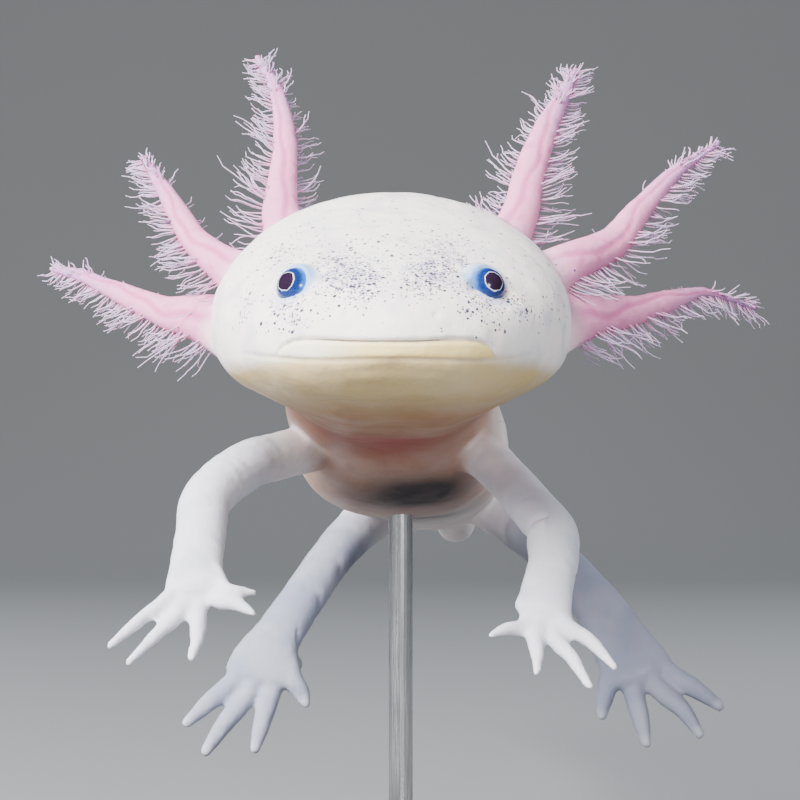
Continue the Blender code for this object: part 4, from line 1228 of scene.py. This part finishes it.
def filament_tree():
    """Grows a tapered, wandering thread from every root point."""
    tree = bpy.data.node_groups.new("Gill filaments", "GeometryNodeTree")
    face = tree.interface
    face.new_socket("Roots", in_out="INPUT", socket_type="NodeSocketGeometry")
    face.new_socket("Finish", in_out="INPUT", socket_type="NodeSocketMaterial")
    face.new_socket("Sections", in_out="INPUT", socket_type="NodeSocketInt")
    face.new_socket("Seed", in_out="INPUT", socket_type="NodeSocketInt")
    for name in ("Thickness", "Tip Share", "Wander", "Wander Size", "Bake Patch"):
        face.new_socket(name, in_out="INPUT", socket_type="NodeSocketFloat")
    face.new_socket("Threads", in_out="OUTPUT", socket_type="NodeSocketGeometry")
    given = add(tree, "NodeGroupInput").outputs

    def stored(name, kind="FLOAT_VECTOR"):
        node = add(tree, "GeometryNodeInputNamedAttribute", {"Name": name}, data_type=kind)
        return node.outputs[0]

    def keep(geometry, name, value, kind="FLOAT", domain="POINT"):
        inputs = {"Geometry": geometry, "Name": name, "Value": value}
        node = add(tree, "GeometryNodeStoreNamedAttribute", inputs, data_type=kind, domain=domain)
        return node.outputs[0]

    def sized(vector, number):
        node = add(tree, "ShaderNodeVectorMath", {0: vector, "Scale": number}, operation="SCALE")
        return node.outputs[0]

    def summed(*vectors):
        total = vectors[0]
        for vector in vectors[1:]:
            total = add(tree, "ShaderNodeVectorMath", {0: total, 1: vector}).outputs[0]
        return total

    roots = add(tree, "GeometryNodeMeshToPoints", {"Mesh": given["Roots"]}).outputs[0]
    roots = keep(roots, "root", add(tree, "GeometryNodeInputPosition").outputs[0], "FLOAT_VECTOR")
    straight = add(tree, "GeometryNodeCurvePrimitiveLine", {"Start": (0, 0, 0), "End": (0, 0, MM)})
    inputs = {"Curve": straight.outputs[0], "Count": given["Sections"]}
    rail = add(tree, "GeometryNodeResampleCurve", inputs)
    rails = add(tree, "GeometryNodeInstanceOnPoints", {"Points": roots, "Instance": rail.outputs[0]})
    rails = add(tree, "GeometryNodeRealizeInstances", {"Geometry": rails.outputs[0]}).outputs[0]
    share = add(tree, "GeometryNodeSplineParameter").outputs["Factor"]
    rails = keep(rails, "along", share)
    curl = calc(tree, "MULTIPLY", share, share)
    place = summed(stored("root"), sized(stored("way"), share), sized(stored("sweep"), curl))
    rails = add(tree, "GeometryNodeSetPosition", {"Geometry": rails, "Position": place}).outputs[0]
    here = add(tree, "GeometryNodeInputPosition").outputs[0]
    here = sized(here, calc(tree, "DIVIDE", 1.0, given["Wander Size"]))
    swirl = add(
        tree,
        "ShaderNodeTexNoise",
        {"Vector": here, "W": given["Seed"], "Scale": 1.0, "Detail": 1.0},
        noise_dimensions="4D",
    )
    centred = summed(swirl.outputs["Color"], (-0.5, -0.5, -0.5))
    wander = sized(centred, calc(tree, "MULTIPLY", curl, given["Wander"]))
    rails = add(tree, "GeometryNodeSetPosition", {"Geometry": rails, "Offset": wander}).outputs[0]

    inputs = {"Resolution": 6, "Radius": given["Thickness"]}
    ring = add(tree, "GeometryNodeCurvePrimitiveCircle", inputs)
    turn = calc(tree, "MULTIPLY_ADD", share, 2.0, -1.0)
    ring = keep(ring.outputs[0], "around", calc(tree, "ABSOLUTE", turn))
    lost = calc(tree, "MULTIPLY", share, calc(tree, "SUBTRACT", 1.0, given["Tip Share"]))
    taper = calc(tree, "SUBTRACT", 1.0, lost)
    inputs = {"Curve": rails, "Profile Curve": ring, "Scale": taper, "Fill Caps": True}
    threads = add(tree, "GeometryNodeCurveToMesh", inputs).outputs[0]

    inputs = {0: stored("around", "FLOAT"), 1: stored("along", "FLOAT")}
    patch = add(tree, "ShaderNodeCombineXYZ", inputs).outputs[0]
    baked = summed(stored("bake_at"), sized(patch, given["Bake Patch"]))
    threads = keep(threads, "OFBake", baked, "FLOAT2", "CORNER")
    threads = add(tree, "GeometryNodeSetShadeSmooth", {"Geometry": threads}).outputs[0]
    threads = add(tree, "GeometryNodeRealizeInstances", {"Geometry": threads}).outputs[0]
    inputs = {"Geometry": threads, "Material": given["Finish"]}
    threads = add(tree, "GeometryNodeSetMaterial", inputs).outputs[0]
    add(tree, "NodeGroupOutput", {"Threads": threads})
    return tree


def turned(vectors, axis, angle):
    """Each row turned about its own axis by its own angle, in radians."""
    c, s = np.cos(angle)[:, None], np.sin(angle)[:, None]
    along = (axis * vectors).sum(axis=1)[:, None]
    return vectors * c + np.cross(axis, vectors) * s + axis * along * (1 - c)


def thread_roots(stalk, rear, spread, looks, rng):
    """Root places, ways, sweeps and map places of one gill's threads, in rows."""
    path, ahead, thin, wide = stalk_frames(stalk)
    rear = np.array(rear) / np.linalg.norm(rear)
    share, angle, size, lean = [], [], [], []
    per_row = looks.per_row
    for turn in (-1, 1):
        phase = rng.uniform(0, 6.3, 2)
        for n in range(per_row):
            steps = n + rng.uniform(0, 0.8)
            place = FIRST_THREAD + (LAST_THREAD - FIRST_THREAD) * steps / per_row
            drift = math.sin(23 * place + phase[0]) + math.sin(51 * place + phase[1])
            share.append(place)
            angle.append(turn * (spread + rng.normal(0, 12) + 7 * drift))
            size.append(rng.uniform(0.74, 1.04) + 0.06 * drift)
            lean.append(0.12 + 0.38 * place + 0.12 * drift)
    for n in range(per_row // 6):  # short ones on the bare side, near the tip
        share.append(rng.uniform(0.78, 0.98))
        angle.append(rng.uniform(110, 250))
        size.append(rng.uniform(0.3, 0.6))
        lean.append(0.6)
    for n in range(TIP_THREADS):
        share.append(rng.uniform(0.93, 0.99))
        angle.append(rng.uniform(0, 360))
        size.append(rng.uniform(0.25, 0.5))
        lean.append(rng.uniform(0.7, 1.5))
    share, size, lean = np.array(share), np.array(size), np.array(lean)
    angle = np.radians(angle)
    step = np.round(share * STALK_STEPS).astype(int).clip(0, STALK_STEPS)
    forward, middle = ahead[step], path[step]
    out = rear - forward * (forward @ rear)[:, None]
    out /= np.linalg.norm(out, axis=1)[:, None]
    out = turned(out, forward, angle)
    across = (out * wide[step]).sum(axis=1) / middle[:, 3]
    deep = (out * thin[step]).sum(axis=1) / middle[:, 4]
    depth = 0.75 / np.hypot(across, deep)
    roots = middle[:, :3] + out * depth[:, None]
    length = (looks.length_root + (looks.length_tip - looks.length_root) * share) / MM * size
    way = out + forward * lean[:, None]
    way /= np.linalg.norm(way, axis=1)[:, None]
    clump = np.sin(np.outer(90 * share, np.ones(3)) + rng.uniform(0, 6.3, 3))
    stray = 0.15 * rng.normal(0, 1, (len(share), 3)) + 0.10 * clump
    sweep = (0.42 * forward + stray) * length[:, None] * looks.curl
    around = (np.degrees(angle) % 360) / 360
    bake_at = np.stack([0.04 + 0.9 * around, 0.04 + 0.9 * share, 0 * share], axis=1)
    return roots, way * length[:, None], sweep, bake_at


def grow_threads(name, roots, way, sweep, bake_at, tree, finish, looks, seed):
    """One gill's threads as a plain mesh."""
    mesh = bpy.data.meshes.new(name)
    mesh.from_pydata([tuple(p) for p in (roots + HOME) * MM], [], [])
    for key, rows in (("way", way * MM), ("sweep", sweep * MM), ("bake_at", bake_at)):
        layer = mesh.attributes.new(key, "FLOAT_VECTOR", "POINT")
        layer.data.foreach_set("vector", rows.astype(np.float32).ravel())
    obj = new_object(name, mesh)
    grown = obj.modifiers.new("Grow", "NODES")
    grown.node_group = tree
    sockets = {item.name: item.identifier for item in tree.interface.items_tree}
    values = {
        "Finish": finish,
        "Sections": THREAD_SECTIONS,
        "Seed": seed,
        "Thickness": looks.thickness,
        "Tip Share": 0.42,
        "Wander": looks.wander,
        "Wander Size": 1.6 * MM,
        "Bake Patch": BAKE_PATCH,
    }
    for key, value in values.items():
        grown[sockets[key]] = value
    applied(obj)
    for key in ("way", "sweep", "bake_at", "root", "around"):
        if key in obj.data.attributes:
            obj.data.attributes.remove(obj.data.attributes[key])
    return obj


def colour_choice(name, description, value):
    return FloatVectorProperty(
        name=name, description=description, subtype="COLOR", size=3, min=0.0, max=1.0, default=value
    )


def length_choice(name, description, value):
    return FloatProperty(
        name=name, description=description, unit="LENGTH", min=0.0, precision=5, default=value
    )


def power_choice(name, description, value):
    return FloatProperty(name=name, description=description, unit="POWER", min=0.0, default=value)


class AxolotlSkin(bpy.types.PropertyGroup):
    """Colours of the skin and its markings, some of them darkened as painted shade."""

    skin: colour_choice("Skin", "Pale ground colour of the whole skin", (0.82, 0.78, 0.76))
    flush: colour_choice("Flush", "Pink that shows through the body", (0.82, 0.62, 0.60))
    # Partly painted shade: the jaw's cream darkened for the shade under the head.
    chin: colour_choice("Chin", "Cream of the lower jaw", (0.50, 0.36, 0.13))
    lip: colour_choice("Lower Lip", "Pale yellow of the lower lip", (0.76, 0.58, 0.22))
    # Partly painted shade: the throat's tan darkened for the shade under the head.
    throat: colour_choice("Throat", "Tan of the throat", (0.25, 0.09, 0.045))
    # Partly painted shade: the chest's colour darkened for the shade underneath.
    chest: colour_choice("Chest", "Brown pink of the chest", (0.33, 0.145, 0.075))
    blood: colour_choice(
        "Blood", "Red where the heart and vessels show through", (0.32, 0.022, 0.02)
    )
    # Partly painted shade: the belly patch darker than the organs' own colour.
    organ: colour_choice(
        "Belly Patch", "Slate blue where the organs show through", (0.02, 0.021, 0.028)
    )
    # Partly painted shade: the arms' white made darker and bluer.
    limb: colour_choice("Arms", "Cool white of the arms", (0.38, 0.41, 0.54))
    # Partly painted shade: the hind legs' colour made darker, as where less light reaches.
    hind: colour_choice("Legs", "Blue grey of the hind legs", (0.17, 0.20, 0.29))
    fin: colour_choice("Fins", "Milky blue of the thin fins", (0.66, 0.66, 0.74))
    gill_root: colour_choice("Gill Root", "Pink of a gill's root", (0.66, 0.25, 0.43))
    gill_rose: colour_choice(
        "Gill Rose", "Rosier feathered side and veins of a gill", (0.50, 0.13, 0.29)
    )
    gill_tip: colour_choice("Gill Tip", "Lilac of a gill's tip", (0.42, 0.23, 0.47))
    halo: colour_choice("Eye Halo", "Light blue of the skin round an eye", (0.13, 0.33, 0.64))
    yolk: colour_choice("Eye Corner", "Yellow at the outer corner of an eye", (0.84, 0.70, 0.36))
    stain: colour_choice("Stain", "Lilac haze between the specks", (0.27, 0.23, 0.50))
    speck: colour_choice("Specks", "Dark purple grey of the specks", (0.018, 0.010, 0.050))
    # Painted shade in the fold under the lower lip.
    crease: colour_choice("Crease", "Darker cream in soft creases", (0.50, 0.38, 0.24))
    # Painted shade in the closed mouth's slit.
    slit: colour_choice("Mouth Slit", "Brown grey of the closed mouth", (0.10, 0.08, 0.08))
    cap: colour_choice("Digit Tips", "Pale tips of the fingers and toes", (0.62, 0.60, 0.62))


class AxolotlEyes(bpy.types.PropertyGroup):
    """Colours of the eyeballs."""

    pupil: colour_choice("Pupil", "Purple black of the pupil", (0.014, 0.006, 0.018))
    ring: colour_choice("Ring", "Thin pale ring round the pupil", (0.70, 0.68, 0.74))
    iris: colour_choice("Iris", "Dark blue of the iris", (0.004, 0.016, 0.10))
    iris_fleck: colour_choice("Iris Flecks", "Lighter flecks in the iris", (0.015, 0.06, 0.24))
    iris_edge: colour_choice("Iris Edge", "Light blue at the rim of the eye", (0.04, 0.15, 0.44))


class AxolotlGills(bpy.types.PropertyGroup):
    """Sizes and colours of the gill filaments."""

    per_row: IntProperty(
        name="Per Row", description="Filaments in each row of a gill", min=8, default=118
    )
    length_root: length_choice("Root Length", "Length of the filaments near the head", 5.0 * MM)
    length_tip: length_choice("Tip Length", "Length of the filaments at the tip", 1.7 * MM)
    thickness: length_choice("Thickness", "Radius of a filament at its root", 0.115 * MM)
    wander: length_choice("Wander", "How far a filament's tip strays", 2.2 * MM)
    curl: FloatProperty(
        name="Curl", description="How strongly the filaments bend", min=0.0, default=1.0
    )
    thread_root: colour_choice("Root Colour", "Pink of the filaments' roots", (0.50, 0.25, 0.40))
    thread_tip: colour_choice(
        "Tip Colour", "Lilac white of the filaments' tips", (0.42, 0.33, 0.48)
    )
    gill_rose: colour_choice("Flush", "Rosier patches among the filaments", (0.44, 0.14, 0.28))


class AxolotlStand(bpy.types.PropertyGroup):
    """Colours of the display stand."""

    base: colour_choice("Base", "Charcoal of the base plate", (0.055, 0.058, 0.062))
    base_shade: colour_choice(
        "Base Shade", "Darker clouding of the base plate", (0.042, 0.045, 0.048)
    )
    steel: colour_choice("Steel", "Colour of the rod and collar", (0.62, 0.62, 0.62))
    steel_shade: colour_choice("Steel Shade", "Dull streaks in the steel", (0.36, 0.36, 0.37))


class AxolotlStage(bpy.types.PropertyGroup):
    """The camera's place and lens, the paper and the lamps."""

    camera_side: length_choice(
        "Camera Side", "How far the camera stands to the animal's left", 0.9 * MM
    )
    camera_away: length_choice("Camera Distance", "How far the camera stands in front", 284.6 * MM)
    camera_up: length_choice("Camera Height", "Height of the lens over the floor", 72 * MM)
    lens: FloatProperty(
        name="Lens", description="Focal length in millimetres", min=10.0, default=100.0
    )
    paper: colour_choice("Paper", "Plain grey floor and backdrop", (0.20, 0.205, 0.215))
    air: colour_choice("Air", "Soft light from all round", (0.78, 0.82, 0.88))
    key: power_choice("Key Lamp", "Power of the wide lamp high on the animal's front right", 24.0)
    front: power_choice("Front Lamp", "Power of the small lamp behind the camera", 2.4)
    rims: power_choice("Rim Lamps", "Power of each lamp behind the animal", 2.6)


class AXOLOTL_OT_make_skin(bpy.types.Operator):
    """Makes the one skin that covers all the flesh, with its folds and markings"""

    bl_idname = "axolotl.make_skin"
    bl_label = "Make Skin"

    def execute(self, context):
        obj = raw_flesh(FINEST)
        refine(obj, face_front(animal(places_of(obj.data))))
        carve(obj)
        obj.data.calc_loop_triangles()
        fewer = obj.modifiers.new("Fewer", "DECIMATE")
        fewer.ratio = min(1.0, SKIN_TRIANGLES / len(obj.data.loop_triangles))
        applied(obj)
        mark(obj)
        obj.data.shade_smooth()
        obj.data.materials.clear()
        obj.data.materials.append(skin_finish(context.scene.axolotl_skin))
        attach(obj, BODY_NAME)
        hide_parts(*(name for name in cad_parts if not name.startswith(("stand_", "eye_"))))
        return {"FINISHED"}


class AXOLOTL_OT_make_eyes(bpy.types.Operator):
    """Makes both eyeballs"""

    bl_idname = "axolotl.make_eyes"
    bl_label = "Make Eyes"

    def execute(self, context):
        finish = eye_finish(context.scene.axolotl_eyes)
        for name, (centre, looks) in zip(("right", "left"), eye_places()):
            bm = bmesh.new()
            bmesh.ops.create_uvsphere(bm, u_segments=72, v_segments=48, radius=EYE_RADIUS * MM)
            turn = looks.to_track_quat("Z", "Y").to_matrix().to_4x4()
            bmesh.ops.transform(bm, matrix=Matrix.Translation(centre) @ turn, verts=bm.verts)
            obj = from_bmesh(f"eyeball_{name}", bm, finish)
            obj.data.shade_smooth()
            mark_eye(obj.data, centre, looks)
            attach(obj, BODY_NAME)
            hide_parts(f"eye_{name}")
        return {"FINISHED"}


class AXOLOTL_OT_make_filaments(bpy.types.Operator):
    """Grows the rows of fine filaments on all six gills"""

    bl_idname = "axolotl.make_filaments"
    bl_label = "Make Gill Filaments"

    def execute(self, context):
        looks = context.scene.axolotl_gills
        tree = filament_tree()
        finish = filament_finish(looks)
        for number, (name, (stalk, rear, spread)) in enumerate(GILLS.items()):
            rng = np.random.default_rng(SEED + number)
            rows = thread_roots(stalk, rear, spread, looks, rng)
            name = name.replace("gill_", "gill_filaments_")
            obj = grow_threads(name, *rows, tree, finish, looks, SEED + number)
            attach(obj, BODY_NAME)
        return {"FINISHED"}


class AXOLOTL_OT_finish_stand(bpy.types.Operator):
    """Gives the stand's base, collar and rod their finishes"""

    bl_idname = "axolotl.finish_stand"
    bl_label = "Finish Stand"

    def execute(self, context):
        looks = context.scene.axolotl_stand
        steel = rod_finish(looks)
        finishes = {"stand_base": base_finish(looks), "stand_collar": steel, "stand_rod": steel}
        for name, finish in finishes.items():
            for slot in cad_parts[name].material_slots:
                slot.material = finish
        return {"FINISHED"}


class AXOLOTL_OT_make_stage(bpy.types.Operator):
    """Sets up the paper sweep, the lamps and the camera"""

    bl_idname = "axolotl.make_stage"
    bl_label = "Make Stage"

    def execute(self, context):
        looks = context.scene.axolotl_stage
        paper = make_paper(stage_finish(looks.paper))
        for name, (power, place, size, colour, mirrored) in LAMPS.items():
            add_lamp(name, place, size, getattr(looks, power), colour, mirrored)
        world = bpy.data.worlds.new("soft_air")
        world.use_nodes = True
        sky = world.node_tree.nodes["Background"]
        sky.inputs["Color"].default_value = (*looks.air, 1.0)
        sky.inputs["Strength"].default_value = AIR_STRENGTH
        context.scene.world = world
        lens = bpy.data.cameras.new("camera")
        lens.lens = looks.lens
        lens.sensor_width = 36.0
        lens.clip_start = 0.01
        camera = bpy.data.objects.new("camera", lens)
        camera.location = (looks.camera_side, -looks.camera_away, looks.camera_up)
        camera.rotation_euler = (math.radians(90), 0.0, 0.0)
        context.scene.collection.objects.link(camera)
        context.scene.camera = camera
        return {"FINISHED"}


def make_paper(finish):
    """A wide floor that curves up into a backdrop, as one sheet."""
    radius, turns = 0.5, 16
    profile = [(-PAPER_HALF_WIDTH, 0.0), (PAPER_BACK - radius, 0.0)]
    for k in range(1, turns + 1):
        a = math.radians(90 * k / turns)
        profile.append((PAPER_BACK - radius + radius * math.sin(a), radius - radius * math.cos(a)))
    profile.append((PAPER_BACK, PAPER_TOP))
    bm = bmesh.new()
    edges = (-PAPER_HALF_WIDTH, PAPER_HALF_WIDTH)
    rows = [[bm.verts.new((x, y, z)) for y, z in profile] for x in edges]
    for i in range(len(profile) - 1):
        bm.faces.new((rows[0][i], rows[1][i], rows[1][i + 1], rows[0][i + 1]))
    paper = from_bmesh("stage_paper", bm, finish)
    paper.data.shade_smooth()
    return paper


def add_lamp(name, place, size, power, colour, mirrored):
    """A soft round lamp that faces the animal."""
    lamp = bpy.data.lights.new(name, "AREA")
    lamp.shape = "DISK"
    lamp.size = size
    lamp.energy = power
    lamp.color = colour
    obj = bpy.data.objects.new(name, lamp)
    obj.location = place
    obj.rotation_euler = (LAMP_AIM - Vector(place)).to_track_quat("-Z", "Y").to_euler()
    obj.visible_glossy = mirrored
    bpy.context.scene.collection.objects.link(obj)


GROUPS = {
    "axolotl_skin": AxolotlSkin,
    "axolotl_eyes": AxolotlEyes,
    "axolotl_gills": AxolotlGills,
    "axolotl_stand": AxolotlStand,
    "axolotl_stage": AxolotlStage,
}
OPERATORS = (
    AXOLOTL_OT_make_skin,
    AXOLOTL_OT_make_eyes,
    AXOLOTL_OT_make_filaments,
    AXOLOTL_OT_finish_stand,
    AXOLOTL_OT_make_stage,
)


class AXOLOTL_PT_panel(bpy.types.Panel):
    """Every step of the model, with the sizes and colours it uses."""

    bl_idname = "AXOLOTL_PT_panel"
    bl_label = "Axolotl"
    bl_space_type = "VIEW_3D"
    bl_region_type = "UI"
    bl_category = "Axolotl"

    def draw(self, context):
        for (name, group), operator in zip(GROUPS.items(), OPERATORS):
            box = self.layout.box()
            for key in group.__annotations__:
                box.prop(getattr(context.scene, name), key)
            box.operator(operator.bl_idname)


def register():
    for name, group in GROUPS.items():
        bpy.utils.register_class(group)
        setattr(bpy.types.Scene, name, PointerProperty(type=group))
    for operator in OPERATORS:
        bpy.utils.register_class(operator)
    bpy.utils.register_class(AXOLOTL_PT_panel)


def unregister():
    bpy.utils.unregister_class(AXOLOTL_PT_panel)
    for operator in reversed(OPERATORS):
        bpy.utils.unregister_class(operator)
    for name, group in reversed(GROUPS.items()):
        delattr(bpy.types.Scene, name)
        bpy.utils.unregister_class(group)


def main():
    register()
    bpy.ops.axolotl.make_skin()
    bpy.ops.axolotl.make_eyes()
    bpy.ops.axolotl.make_filaments()
    bpy.ops.axolotl.finish_stand()
    bpy.ops.axolotl.make_stage()


if __name__ == "__main__":
    main()
